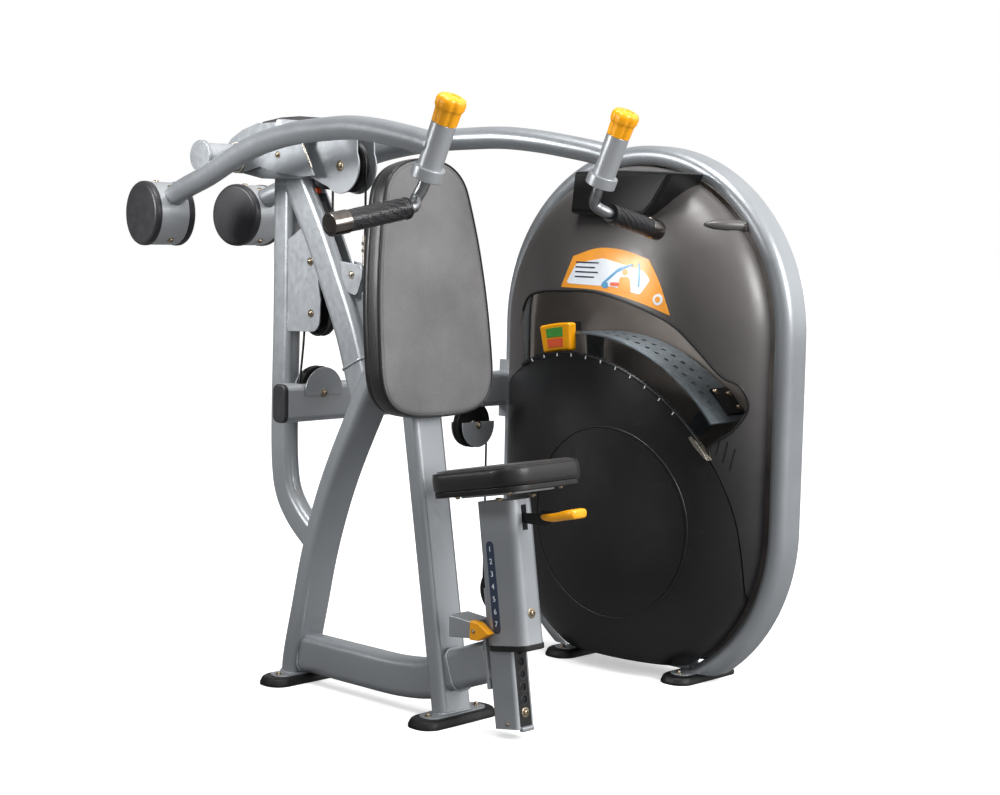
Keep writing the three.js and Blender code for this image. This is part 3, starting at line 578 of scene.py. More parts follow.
LEG_DIR = unit((0, 160, 950))
floor_cut = [block(-400, 1400, -900, 1500, -300, FOOT[2] + 0.4)]
leg_path = [LEG_DIR * s for s in np.linspace(-10, 963, 8)]
STUB_LINE = [(14, 122), (-50, 144), (-146, 180)]


def frame_tube(name, path, size, node):
    return piece(name, [sweep(path, rounded(*size))], SILVER, "frame", [node])


carve(frame_tube("front_leg_tube", leg_path, LEG, "front_leg"), floor_cut)
carve(frame_tube("rear_leg_tube", catmull(mid(REAR_LEG)), LEG, "rear_leg"), floor_cut)
spine = frame_tube("spine_bent_tube", catmull(mid(SPINE_LINE)), SPINE_FULL, "spine_tube")
carve(spine, [block(-14, 14, 380, 700, 1040, 1300)])
frame_tube("rear_upright_tube", catmull(mid(UPRIGHT_LINE)), SPINE, "rear_upright")
frame_tube("base_bent_tube", catmull(mid(BASE_LINE)), BASE, "base_tube")
frame_tube("seat_stub_tube", catmull(mid(STUB_LINE)), BASE, "seat_stub")
flange_turn = Matrix.Translation((0, post_y(178) + 43, 178)) @ Matrix.Rotation(-math.atan(POST_SLOPE), 4, "X")
piece("seat_stub_flange", [moved(block(-36, 36, -4, 4, -66, 66), flange_turn)], SILVER, "frame", bevel=1.5)


def weld_round(name, centre, direction, size, grow=1.5, radius=3.0):
    """A rippled weld round the section of a tube that runs in the given direction."""
    up = unit(np.cross(unit(direction), X))
    outline = rounded(size[0] + 2 * grow, size[1] + 2 * grow, size[2] + grow, 8)
    path = [np.asarray(centre, float) + a * X + b * up for a, b in outline]
    dense = []
    for here, after in zip(path, path[1:] + path[:1]):
        dense += [here, here + (after - here) * 0.5]
    scales = [1 + 0.18 * math.sin(i * 2.1) for i in range(len(dense))]
    piece(name, [sweep(dense, ring_of(radius, 7), unit(direction), True, scales)], SILVER, "frame", sharp=60)


weld_round("weld_rear_leg_base", (0, 550, 78), Y, BASE)
weld_round("weld_front_leg_base", (0, 44, 100), Y, BASE)
weld_round("weld_front_leg_foot", LEG_DIR * 23, LEG_DIR, LEG)
weld_round("weld_rear_leg_foot", (0, 581, 24), unit((0, -5, 60)), LEG)
weld_round("weld_stub", (0, -22, 134), unit((0, -60, 22)), BASE)
weld_round("weld_spine_leg", (0, 352, 866), unit((0, 60, 127)), SPINE_FULL)

# seat post, drilled for the pull pin
post_line = [(0, post_y(z), z) for z in np.linspace(25, 360, 5)]
post = frame_tube("seat_post_tube", post_line, (61, 78, 9), "seat_post")
HOLE_PITCH = 30
hole_heights = [92 + HOLE_PITCH * i for i in range(6)]
post_front = unit((0, -1, POST_SLOPE))


def post_face(z, out=0.0):
    return np.array((0, post_y(z), z)) + post_front * (38 * math.cos(math.atan(POST_SLOPE)) + out)


def at_holes(profile, n):
    """One turned shape at each hole of the post."""
    return [lathe(profile, post_face(z), post_front, n) for z in hole_heights]


carve(post, at_holes([(0, -30), (11.4, -30), (11.4, 6), (0, 6)], 24))
strip_line = [post_face(z, 0.2) for z in (30, 356)]
strip = piece("seat_post_strip", [sweep(strip_line, rounded(42, 3.0, 1.2, 3))], BLACK, "frame")
carve(strip, at_holes([(0, -30), (11.0, -30), (11.0, 6), (0, 6)], 24))
rim = [(10.2, -3), (12.4, -3), (12.4, 2.0), (11.4, 2.6), (10.2, 2.0), (10.2, -3)]
piece("seat_post_hole_rims", at_holes(rim, 28), IRON, "frame")
piece("seat_post_bolts", [bolt(post_face(62, 1.6), post_front, 8), bolt((-27.5, post_y(34) - 6, 38), -X, 5)],
      BRASS, "frame")
piece("seat_post_lug", [block(-20, 22, post_y(36) - 48, post_y(36) - 34, 24, 36)], SILVER, "frame", bevel=4)

pointer_arm = [(-40, 226), (-118, 234), (-118, 276), (-40, 282)]
pointer_tip = [(-117, 232), (-146, 234), (-182, 256), (-146, 277), (-117, 280)]
piece("seat_pointer_arm", [slab(pointer_arm, -60, 8)], SILVER, "frame", bevel=4)
piece("seat_pointer_tip", [slab(pointer_tip, -66, -44)], YELLOW, "frame", ["seat_pointer"], bevel=3)
piece("seat_pointer_screw", [bolt((-66, -132, 256), -X, 3.4)], BRASS, "frame")

# ---------------------------------------------------------------- cross bar

def along_bar(*xs):
    return [(x, BAR_Y, BAR_Z) for x in xs]


bar = piece("cross_bar_tube", [sweep(along_bar(BAR_LEFT, 300, BAR_RIGHT + 4), rounded(*BEAM), Y)],
            SILVER, "frame", ["cross_bar"])
carve(bar, [block(x - 72, x + 72, BAR_Y - 13, BAR_Y + 13, low, high)
            for x, low, high in ((LEFT_AT[0], 760, 830), (RIGHT_AT[0], 640, 738))])
piece("cross_bar_fixings", [block(-24, 24, BAR_Y + 22, 616, 706, 790),
                            block(BAR_RIGHT - 2, 770.6, 533, 584, 664, 832)], SILVER, "frame", bevel=2)
cap_lip = sweep(along_bar(-92, -91, -88.5, -80.5), rounded(*BEAM), Y, scales=[0.90, 0.97, 1.0, 1.0])
cap_plug = sweep(along_bar(-80, -62), rounded(42, 93, 13), Y)
piece("cross_bar_end_cap", [cap_lip, cap_plug], CAP_RUBBER, "frame", ["cross_bar_cap"], 50)
guards = []
for (x, _, z), start, end in ((LEFT_AT, -8, 188), (RIGHT_AT, 172, 368)):
    outline = arc(x, z, WIDE_PULLEY - 2, start, end, 30)
    guards += [slab(outline, BAR_Y - 29.5, BAR_Y - 26, "y"), slab(outline, BAR_Y + 15, BAR_Y + 18.5, "y")]
piece("pulley_guards", guards, SILVER, "frame", bevel=0.8)
piece("cross_bar_bolts", [bolt((40, BAR_Y - 29.5, 772), -Y, 7), bolt((632, BAR_Y - 29.5, 648), -Y, 7),
                          bolt((765, 560, 818), -X, 6), bolt((765, 560, 678), -X, 6)], BRASS, "frame")

# ---------------------------------------------------------------- head, brackets and pulleys

housing = [(532, 1336), (700, 1336), (782, 1350)] + arc(790, 1391, 41, -80, 112, 20) + [(532, 1432)]
piece("pivot_housing_body", [slab(housing, -54, 54)], SILVER, "frame", ["pivot_housing"], bevel=3)
bracket = [(613, 935), (613, 1176), (556, 1212), (543, 1208), (505, 1176), (490, 1061), (482, 1023)] + \
    arc(518, 972, 34, 180, 268, 12)
piece("pulley_bracket_plates", [slab(bracket, -31, -27), slab(bracket, 27, 31)], SILVER, "frame",
      ["pulley_bracket"], bevel=1.2)
bracket_axles = (UPPER_AT[1:], LOWER_AT[1:])
piece("bracket_bolts", [bolt((s * 31, y, z), s * X, 7) for s in (-1, 1) for y, z in bracket_axles],
      BRASS, "frame", ["axle_upper_pulley", "axle_lower_pulley"])
piece("bracket_axles", [disc((-27, y, z), X, 7.4, 54, 0.6, 20) for y, z in bracket_axles], STEEL, "frame")
piece("weld_bracket", [bead([(s * 29, 613, z) for z in range(zz, zz + 56, 8)], 3.0)
                       for s in (-1, 1) for zz in (938, 1114)], SILVER, "frame", sharp=60)
anchor = [(412, 1126), (338, 1118), (328, 1108), (330, 1086), (346, 1046), (356, 1040), (400, 1052)]
piece("cable_anchor_plates",
      [slab(anchor, -25, -21), slab(anchor, 21, 25), block(-22, 22, 338, 356, 1086, 1102)],
      SILVER, "frame", ["cable_anchor"], bevel=1)
piece("cable_eyebolt", [disc((0, 347, 1096), Z, 6, 96, 1, 20), disc((0, 347, 1150), Z, 9, 9, 1, 6),
                        disc((0, 347, 1168), Z, 9, 9, 1, 6), bolt((-25, 369, 1092), -X, 7),
                        bolt((25, 369, 1092), X, 7)], STEEL, "frame")
spine_front = unit((0, -0.89, 0.455))
spine_up = unit((0, 0.455, 0.89))
# The pin slot is drawn as a flat black plate whose black is painted shade in the slot's opening.
spine_marks = (("spine_pin_slot_painted_shade", 1236, 13, 44, BLACK), ("spine_mark", 1284, 16, 15, RED))
for name, height, wide, tall, look in spine_marks:
    centre = np.array((-8, 516 + (height - 1203) * 0.60, height)) + spine_front * 50.2
    plate = [centre + X * a + spine_up * b for a, b in rounded(wide, tall, 5, 5)]
    verts = [p - spine_front * 4 for p in plate] + [p + spine_front * 0.8 for p in plate]
    piece(name, [(verts, capped(2, len(plate)))], look, "frame")
bumper = disc((0, 512, 1318), unit((0, -0.45, 0.9)), 26, 34, 6, 32)
piece("rest_bumper", [bumper], CAP_RUBBER, "frame", sharp=50)


def pulley(node, centre, axis, r):
    """A grooved wheel with a dished web, and the bearing in its hub."""
    w = 10
    half = [(8, -w), (14, -w), (15, -w + 1.4), (r - 17, -w + 3.4), (r - 14, -w + 1), (r - 1.5, -w),
            (r, -w + 1.2), (r - 1, -w + 2.6), (r - 5, -3.4)]
    profile = half + [(r - 7, 0)] + [(reach, -height) for reach, height in half[::-1]] + half[:1]
    piece(node + "_wheel", [lathe(profile, centre, axis, 64)], NYLON, node, [node], 30)
    hub = [(3, -w - 1.5), (11, -w - 1.5), (12, -w - 0.5), (12, w + 0.5), (11, w + 1.5), (3, w + 1.5),
           (3, -w - 1.5)]
    piece(node + "_bearing", [lathe(hub, centre, axis, 32)], STEEL, node)


pulley("pulley_press", PRESS_AT, X, WIDE_PULLEY)
pulley("pulley_upper", UPPER_AT, X, SMALL_PULLEY)
pulley("pulley_lower", LOWER_AT, X, SMALL_PULLEY)
pulley("pulley_left", LEFT_AT, Y, WIDE_PULLEY)
pulley("pulley_right", RIGHT_AT, Y, WIDE_PULLEY)
pulley("pulley_floor", FLOOR_AT, X, WIDE_PULLEY)

CABLE_R = 3.2
WRAP = 63


def cable(name, points, stands_for=(), body="frame"):
    piece(name, [sweep(catmull(points, 6), ring_of(CABLE_R, 12), X)], CABLE, body, stands_for, 60)


def in_bar_plane(points):
    return [(x, BAR_Y, z) for x, z in points]


fall_x = RIGHT_AT[0] + WRAP + 0.4
drop_x = LEFT_AT[0] - WRAP - 0.4
cable("cable_drop_line", [(drop_x, BAR_Y, 780), (-6, 576, 900), (0, 577, 978)], ["cable_drop"])
cable("cable_fall_line", in_bar_plane([(fall_x, 164), (fall_x, 640)]), ["cable_fall"])
cable("cable_over_press", mid(arc(*PRESS_AT[1:], WRAP, 0, 180, 28)), body="press_arm")
cable("cable_over_left", in_bar_plane(arc(40, 776, WRAP, 180, 270, 16) + [(300, 713)]))
cable("cable_over_right", in_bar_plane([(300, 711), (632, 711)] + arc(632, 648, WRAP, 84, 0, 16)))
cable("cable_bracket", mid([(473, 1188), (462, 1128), (470, 1060), (520, 1042)]))


def stretching(name, node, y, low, high):
    """A straight fall of the cable, baked in place and attached to no body; in the machine its length changes
    with the press arm.
    """
    line = [(0, y, z) for z in np.linspace(low, high, 24)]
    obj = piece(name, [sweep(line, ring_of(CABLE_R, 12))], CABLE, None, [node], 60)
    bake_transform(obj)


stretching("cable_front_fall", "strand_front", PRESS_AT[1] - WRAP, 1191, 1369)
stretching("cable_rear_fall", "strand_rear", PRESS_AT[1] + WRAP, 1135, 1369)

# ---------------------------------------------------------------- press arm

KNOB_R, KNOB_LOBES, KNOB_POINTS = 31.5, 6, 96

for side, hand in ((-1, "right"), (1, "left")):
    path = catmull([(arm_x(side, y), y, z) for y, z in ARM_LINE], 10)
    nose = unit(path[-1] - path[-2])
    path = np.vstack([path, path[-1] + nose * 6, path[-1] + nose * 10])
    scales = [1.0] * (len(path) - 2) + [0.93, 0.72]
    piece("press_tube_" + hand, [sweep(path, ring_of(ARM_RADIUS, 40), scales=scales)], SILVER, "press_arm",
          ["arm_" + hand], 45)
    weight_axis = unit((1, side * ARM_SPLAY, 0)) * side
    base = np.array((arm_x(side, 1006), 1006, 1238)) + weight_axis * 4
    half = 61
    body_profile = [(0, -half + 16), (85.5, -half + 16), (85.5, half - 16), (0, half - 16)]
    cap_profile = [(0, 0), (77, 0), (84, 2), (87, 7), (87.6, 14), (87.2, 20), (85, 21), (0, 21)]
    piece("counterweight_drum_" + hand, [lathe(body_profile, base, weight_axis, 72)], SILVER, "press_arm",
          ["counterweight_" + hand], 50)
    to_end = weight_axis * (half + 1)
    caps = [lathe(cap_profile, base - end * to_end, end * weight_axis, 72) for end in (1, -1)]
    piece("counterweight_caps_" + hand, caps, CAP_RUBBER, "press_arm", sharp=50)
    front_low = unit((0, -0.55, -0.83))
    piece("counterweight_bolts_" + hand, [bolt(base + np.array((0, 20, 83.5)), Z, 8),
          bolt(base + np.array((0, -46, 70)), unit((0, -0.55, 0.83)), 7),
          bolt(base + front_low * 84, front_low, 7)], BRASS, "press_arm")
    lower = sleeve_at(side, 0)
    piece("handle_socket_" + hand, [
        lathe([(15, 24), (29, 24), (29, 127), (27.5, 129), (15, 129)], lower, SLEEVE_AXIS, 48),
        lathe([(15, -4), (36, -4), (38, -2), (38, 22), (36, 25), (15, 25)], lower, SLEEVE_AXIS, 48)],
        SILVER, "press_arm", ["handle_sleeve_" + hand], 40)
    inner, outer = (np.array((side * x, y, z), float) for x, y, z in (GRIP_INNER, GRIP_OUTER))
    along = unit(outer - inner)
    bend = [sleeve_at(side, 135), sleeve_at(side, 60), sleeve_at(side, -24),
            sleeve_at(side, -56) + side * 9 * X,
            inner - along * 20, inner + along * 12, inner + along * 110, outer - along * 6]
    piece("handle_bar_" + hand, [sweep(catmull(bend, 10), ring_of(14, 32), Y)], HANDLE, "handle_" + hand,
          ["handle_" + hand], 60)
    length = np.linalg.norm(outer - inner)
    handle = "handle_" + hand
    grip_profile = [(14, 0), (22, 0), (24.5, 2.5), (24.5, 6), (23.6, 8), (24.2, length * 0.35),
                    (24.6, length * 0.6), (24.0, length - 8), (24.8, length - 6), (24.8, length - 1),
                    (22, length + 1), (0, length + 1)]
    collar = [(20, -44), (25.2, -44), (26.2, -42.5), (26.2, 2), (25, 4), (19, 4), (17, 2), (0, 2)]
    cuff = [(14.2, -4), (22, -4), (25.2, -2), (25.2, 4), (23, 6), (14.2, 6), (14.2, -4)]
    piece("grip_sleeve_" + hand, [lathe(grip_profile, inner, along, 48)], GRIP, handle, ["grip_" + hand], 50)
    piece("grip_collar_" + hand, [lathe(collar, outer, along, 48)], DARK_CHROME, handle, sharp=35)
    piece("grip_cuff_" + hand, [lathe(cuff, inner, along, 48)], BLACK, handle, sharp=35)
    treads = []
    lift_dir, other_dir = unit(np.cross(along, X)), unit(np.cross(along, np.cross(along, X)))
    for step in range(11):
        for turn in np.linspace(0, 2 * math.pi, 9, endpoint=False):
            run = []
            for t in (0, 0.33, 0.66, 1.0):
                around = turn + t * 0.55 + step * 0.3
                out = math.cos(around) * lift_dir + math.sin(around) * other_dir
                run.append(inner + along * (14 + step * 12 + t * 11) + out * 24.0)
            treads.append(sweep(run, ring_of(1.5, 6), along * 0.01 + lift_dir, scales=[0.5, 1.0, 1.0, 0.5]))
    piece("grip_treads_" + hand, treads, GRIP, handle, sharp=60)
    rows = [(0.86, -9), (0.94, -7.5), (0.96, 6), (0.97, 22), (1.04, 27), (1.10, 30), (1.12, 42),
            (1.08, 49), (0.98, 54), (0.74, 57), (0.52, 56.5), (0.48, 54.5), (0.0, 54.5)]
    knob_base = sleeve_at(side, 137)
    knob_side = np.cross(SLEEVE_AXIS, X)
    verts = []
    for k, height in rows:
        for a in np.linspace(0, 2 * math.pi, KNOB_POINTS, endpoint=False):
            dent = (0.5 + 0.5 * math.cos(KNOB_LOBES * a)) ** 3
            wave = 1 - 0.09 * dent * min(1.0, max(0.0, (k - 0.6) * 3.0))
            out = math.cos(a) * X + math.sin(a) * knob_side
            verts.append(knob_base + SLEEVE_AXIS * height + out * KNOB_R * k * wave)
    knob = (verts, quads(len(rows), KNOB_POINTS))
    piece("pull_knob_" + hand, [knob], YELLOW, "knob_" + hand, ["knob_" + hand], 50)

disc_x = arm_x(1, 790) - 30
piece("pivot_cross_tube", [
    lathe([(26, -172), (35.5, -172), (35.5, -60), (26, -60)], PIVOT, X, 56),
    lathe([(26, 172), (35.5, 172), (35.5, 60), (26, 60)], PIVOT, X, 56),
    disc((-disc_x - 41, 790, 1391), X, 42, 12, 1.5, 56), disc((disc_x + 29, 790, 1391), X, 42, 12, 1.5, 56),
    disc((-176, 790, 1391), X, 24, 352, 1.0, 40)], SILVER, "press_arm", ["pivot_tube"], 45)

lever = [(696, 1366), (774, 1349), (812, 1352), (842, 1366), (853, 1386), (842, 1416), (815, 1442),
         (770, 1464), (708, 1481), (560, 1484), (506, 1482), (523, 1422), (500, 1384), (474, 1343),
         (520, 1340), (629, 1350)]
cheek = [(350, 1478)] + arc(410, 1369, 71, 153, 310, 26) + [(560, 1352), (560, 1480)]
piece("lever_plates", [slab(lever, -64, -58), slab(lever, 58, 64)],
      SILVER, "press_arm", ["lever_beam"], bevel=1.4)
piece("pulley_cheeks", [slab(cheek, -32, -27), slab(cheek, 27, 32), block(-60, 60, 520, 560, 1352, 1360)],
      SILVER, "press_arm", bevel=1.4)
top_plate = [(470, 1466), (640, 1466), (700, 1462), (700, 1470), (640, 1478), (470, 1478)]
strap = [(556, 1480), (712, 1474), (716, 1486), (640, 1496), (560, 1498)]
piece("lever_tubes", [disc((-223, 425, 1464), X, 14, 446, 1, 32), slab(top_plate, -58, 58)],
      SILVER, "press_arm", bevel=1)
piece("lever_strap", [slab(strap, -40, 40)], CAP_RUBBER, "press_arm", bevel=3)
piece("lever_bolts", [bolt((s * 32, 410, 1369), s * X, 9) for s in (-1, 1)] +
      [bolt((s * 64, 619, 1397), s * X, 6) for s in (-1, 1)], BRASS, "press_arm")
piece("press_axle", [disc((-31, 410, 1369), X, 7.4, 62, 0.6, 20)], STEEL, "press_arm", ["axle_press_pulley"])
front_weld = ((514, 1452), (522, 1422), (511, 1404), (499, 1384), (486, 1362))
pivot_weld = arc(*PIVOT[1:], 38, 20, 340, 26)
piece("lever_welds", [bead([(s * 61, y, z) for y, z in front_weld], 3.6) for s in (-1, 1)] +
      [bead([(s * 65.5, y, z) for y, z in pivot_weld], 3.0) for s in (-1, 1)], STEEL, "press_arm", sharp=60)

# ---------------------------------------------------------------- seat

POST_TILT = math.atan(POST_SLOPE)
SEAT_TURN = Matrix.Translation((0, -172, 594)) @ Matrix.Rotation(-POST_TILT - math.radians(1.6), 4, "X")


def carriage_line(heights):
    return [np.array((0, post_y(z) - 30.7, z)) for z in heights]


def post_room(heights):
    """The space the post needs inside the seat's sleeve."""
    return sweep([np.array((0, post_y(z) - 6, z)) for z in heights], rounded(66, 92, 9))


carriage = piece("seat_carriage_tube", [sweep(carriage_line(np.linspace(225, 572, 5)), rounded(82, 124, 24))],
                 SILVER, "seat", ["seat_carriage"])
carve(carriage, [post_room(np.linspace(190, 566, 5)), block(-9, 9, -420, -180, 508, 568)])
trim = sweep(carriage_line((216, 218, 228, 230)), rounded(86, 128, 25), scales=[0.975, 1.0, 1.0, 0.985])
carve(piece("seat_carriage_trim", [trim], BLACK, "seat", bevel=0.8), [post_room((150, 300))])
face_front = carriage_line([312])[0] + np.array((0, -58.5, 0))
piece("seat_carriage_screw", [bolt(face_front + post_front * 4 - X * 4, post_front, 8)], BRASS, "seat")
board = slab(rounded(276, 296, 68, 14), 0, 14, "z")
piece("seat_base_board", [moved(board, SEAT_TURN)], BACKING, "seat", ["seat_board"], bevel=2.5)
piece("seat_bolts", [moved(bolt((x, y, 0), -Z, 6), SEAT_TURN) for x in (-90, 90) for y in (-90, 80)] +
      [bolt((x, -200, 584), -Z, 6) for x in (-58, 58)], BRASS, "seat")
board_plate = slab(rounded(150, 190, 20, 8), -6, 1, "z")
piece("seat_board_plate", [moved(board_plate, SEAT_TURN)], SILVER, "seat", bevel=1)

SCALE_OFFSET = 21
scale_turn = Matrix.Translation(tuple(carriage_line([368])[0])) @ Matrix.Rotation(-POST_TILT, 4, "X")
scale_plate = slab([(a + SCALE_OFFSET, b) for a, b in rounded(24, 222, 11, 8)], -41.9, -39)
piece("seat_scale_plate", [moved(scale_plate, scale_turn)], NAVY, "seat", bevel=0.3)


def digit(number, size):
    """A plain figure as flat outlines, from the built-in font."""
    text = bpy.data.curves.new("figure", "FONT")
    text.body, text.size, text.align_x, text.align_y = str(number), size, "CENTER", "CENTER"
    text.extrude = 0.3
    holder = added("figure", text)
    graph = bpy.context.evaluated_depsgraph_get()
    mesh = bpy.data.meshes.new_from_object(holder.evaluated_get(graph), depsgraph=graph)
    shape = ([tuple(v.co) for v in mesh.vertices], [tuple(p.vertices) for p in mesh.polygons])
    bpy.data.objects.remove(holder)
    return shape


figure_turn = Matrix(((0, 0, -1, 0), (-1, 0, 0, 0), (0, 1, 0, 0), (0, 0, 0, 1)))
figures = []
for index in range(7):
    place = scale_turn @ Matrix.Translation((-42.1, SCALE_OFFSET, 92 - HOLE_PITCH * index)) @ figure_turn
    figures.append(moved(digit(index + 1, 19), place))
piece("seat_scale_figures", figures, WHITE, "seat", sharp=30)

lever_rib = [(-196, 526), (-196, 545), (-304, 556), (-326, 560), (-326, 540), (-300, 524)]
piece("seat_lever_bracket", [slab(lever_rib, -6, 6), block(-12, 12, -330, -292, 540, 562)],
      BLACK, "seat_lever", ["seat_lever"], bevel=2)
paddle = catmull(mid([(-288, 548), (-314, 549), (-340, 553), (-370, 561), (-396, 567), (-406, 568)]), 5)
paddle_scales = np.interp(np.linspace(0, 1, len(paddle)), (0, 0.10, 0.3, 0.75, 0.93, 1.0),
                          (0.35, 0.62, 0.8, 1.0, 0.86, 0.45))
piece("seat_lever_paddle", [sweep(paddle, rounded(56, 24, 11, 6), scales=paddle_scales)],
      YELLOW, "seat_lever", sharp=60)

# ---------------------------------------------------------------- cushions

FRONT_LOOK, CLOTH_FRAMES = 2, 16


def cushion(name, outline_at, rows, rings, place, looks, stands_for, body, pressure):
    """A padded cushion: side band, seam groove and a crowned front made of shrinking rings."""
    layers = [[(u, v, depth) for u, v in outline_at(inset)] for inset, depth, _ in rows]
    n = len(layers[0])
    edge = np.array(outline_at(rows[-1][0]))
    inward = np.ptp(edge[:, 0]) * 0.35
    centre_line = np.array([(0.0, v) for _, v in edge])
    centre_line[:, 1] = np.clip(centre_line[:, 1], edge[:, 1].min() + inward, edge[:, 1].max() - inward)
    for t in np.arange(1, rings + 1) / rings:
        height = rows[-1][1] + (1 - (1 - t) ** 2.4) * looks["crown"]
        layers.append([(u, v, height) for u, v in edge + (centre_line - edge) * t])
    verts = [tuple(place(*p)) for ring in layers for p in ring]
    faces = quads(len(layers), n) + [tuple(range(n))]
    kinds = [kind for _, _, kind in rows[1:] for _ in range(n)] + [FRONT_LOOK] * (rings * n) + [0]
    mesh = plain_mesh(name, verts, faces)
    for look in looks["materials"]:
        mesh.materials.append(look.material)
    for polygon, kind in zip(mesh.polygons, kinds):
        polygon.material_index = kind
    clean(mesh, CUSHION_WELD)
    obj = added(name, mesh)
    tops = {tuple(round(c * MM, 4) for c in v) for v in verts[(len(rows) + 1) * n:]}
    held = obj.vertex_groups.new(name="held")
    for v in mesh.vertices:
        held.add([v.index], 0.0 if tuple(round(c, 4) for c in v.co) in tops else 1.0, "REPLACE")
    fabric = obj.modifiers.new("cloth", "CLOTH")
    settings = fabric.settings
    settings.quality, settings.mass = 6, 0.25
    settings.tension_stiffness = settings.compression_stiffness = 22.0
    settings.shear_stiffness, settings.bending_stiffness = 12.0, 1.2
    settings.use_pressure, settings.uniform_pressure_force = True, pressure
    settings.vertex_group_mass = "held"
    settings.effector_weights.gravity = 0.15
    fabric.point_cache.frame_start, fabric.point_cache.frame_end = 1, CLOTH_FRAMES
    scene = bpy.context.scene
    for step in range(1, CLOTH_FRAMES + 1):
        scene.frame_set(step)
    bake(obj)
    scene.frame_set(1)
    obj.data.shade_smooth()
    obj.data.set_sharp_from_angle(angle=math.radians(50))
    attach(obj, body)
    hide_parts(*stands_for)


PAD_LEAN = math.atan(0.111)
PAD_LOW, PAD_HIGH, PAD_FRONT_Y, PAD_Z, PAD_HEIGHT = 193, 140, 52, 1071, 640


def pad_at(u, v, d):
    """Across, up the pad and depth behind its front face, to the row frame."""
    s, c = math.sin(PAD_LEAN), math.cos(PAD_LEAN)
    return np.array((u, PAD_FRONT_Y + 313 * s + d * c + v * s, PAD_Z - d * s + v * c))


def bezier(points, count):
    t = np.linspace(0, 1, count, endpoint=False)[:, None]
    a, b, c, d = (np.asarray(p, float) for p in points)
    return (1 - t) ** 3 * a + 3 * (1 - t) ** 2 * t * b + 3 * (1 - t) * t ** 2 * c + t ** 3 * d


def back_outline(grow):
    """Half of the tapered back pad, mirrored into one loop of (across, up) points."""
    low, high, h = PAD_LOW + grow, PAD_HIGH + grow, PAD_HEIGHT
    half = np.vstack([bezier([(0, -grow), (low * 0.78, -grow), (low, 30), (low, 128)], 22),
                      bezier([(low, 128), (low, 300), (high + 34, 430), (high + 4, h - 92)], 26),
                      bezier([(high + 4, h - 92), (high - 12, h - 20 + grow), (62, h + grow),
                              (0, h + grow)], 20),
                      [(0, h + grow)]])
    right = [(u, v - h / 2) for u, v in half]
    return right + [(-u, v) for u, v in right[-2:0:-1]]


back_rows = [(-4.0, 52.0, 0), (-0.5, 49.0, 0), (0.0, 42.0, 0), (0.4, 29.0, 0), (0.0, 15.0, 0), (-2.2, 7.4, 0),
             (-4.0, 6.6, 1), (-5.5, 7.6, 1), (-7.0, 6.4, 2), (-11.0, 4.6, 2)]
back_looks = {"materials": [PAD_SIDE, PAD_SIDE, PAD_FRONT], "crown": -4.0}
cushion("back_cushion", back_outline, back_rows, 14, pad_at, back_looks, ["back_pad"], "frame", 2.2)
piping = [pad_at(u, v, 6.9) for u, v in back_outline(-2.6)]
piece("back_cushion_piping", [sweep(piping, ring_of(2.2, 10), Y, True)], PAD_SIDE, "frame", sharp=60)
stitch_ring = np.array([pad_at(u, v, 4.7) for u, v in back_outline(-11.5)])


def stitches(ring, length, gap, radius, out):
    """Short thread runs along a closed ring."""
    steps = np.linalg.norm(np.roll(ring, -1, axis=0) - ring, axis=1)
    walk = np.concatenate([[0], np.cumsum(steps)])
    closed = np.vstack([ring, ring[:1]])

    def at(s):
        return np.array([np.interp(s % walk[-1], walk, closed[:, i]) for i in range(3)])

    runs = []
    for s in np.arange(0, walk[-1] - length, length + gap):
        points = [at(s), at(s + length / 2) + out * 0.5, at(s + length)]
        runs.append(sweep(points, ring_of(radius, 5), Z if abs(out[2]) < 0.7 else Y))
    return runs


pad_front_dir = pad_at(0, 0, -1) - pad_at(0, 0, 0)
piece("back_cushion_stitches", stitches(stitch_ring, 4.2, 2.0, 0.7, pad_front_dir), THREAD, "frame", sharp=60)
shell_rows = [(-3, 51.4), (-2.0, 55), (-2.6, 63), (-6, 70), (-14, 74)]
shell = [pad_at(u, v, depth) for inset, depth in shell_rows for u, v in back_outline(inset)]
piece("back_cushion_shell", [(shell, capped(len(shell_rows), len(back_outline(0))))], BACKING, "frame",
      ["back_pad_shell"], 40)


def seat_outline(grow):
    return rounded(280 + 2 * grow, 300 + 2 * grow, 70 + grow, 22)


def seat_at(u, v, d):
    """Across, along and depth below the top of the seat cushion, to the row frame."""
    return np.array(SEAT_TURN @ Vector((u, v, 66.4 - d)))


seat_rows = [(-4.0, 52.0, 0), (-1.0, 50.0, 0), (0.0, 44.0, 0), (0.8, 30.0, 0), (0.4, 18.0, 0),
             (-1.6, 10.4, 0), (-3.8, 9.0, 0), (-5.2, 9.6, 0), (-7.4, 7.8, 2), (-14.0, 4.6, 2),
             (-24.0, 1.8, 2)]
seat_looks = {"materials": [PAD_SIDE, PAD_SIDE, SEAT_TOP], "crown": -4.5}
cushion("seat_cushion", seat_outline, seat_rows, 14, seat_at, seat_looks, ["seat_pad"], "seat", 2.0)
seat_piping = [seat_at(u, v, 9.6) for u, v in seat_outline(-3.0)]
piece("seat_cushion_piping", [sweep(seat_piping, ring_of(1.9, 10), Z, True)], PAD_SIDE, "seat", sharp=60)
seat_stitch_ring = np.array([seat_at(u, v, 4.3) for u, v in seat_outline(-13.0)])
piece("seat_cushion_stitches", stitches(seat_stitch_ring, 4.2, 2.0, 0.6, Z), THREAD, "seat", sharp=60)

# ---------------------------------------------------------------- weight tower


def stadium(radius, n=44):
    """Loop of (y, z) points at a distance from the tower's upright middle line."""
    return arc(RING_Y, RING_HIGH, radius, 0, 180, n) + \
        [(RING_Y - radius, z) for z in np.linspace(RING_HIGH, RING_LOW, 16)[1:-1]] + \
        arc(RING_Y, RING_LOW, radius, 180, 360, n) + \
        [(RING_Y + radius, z) for z in np.linspace(RING_LOW, RING_HIGH, 16)[1:-1]]


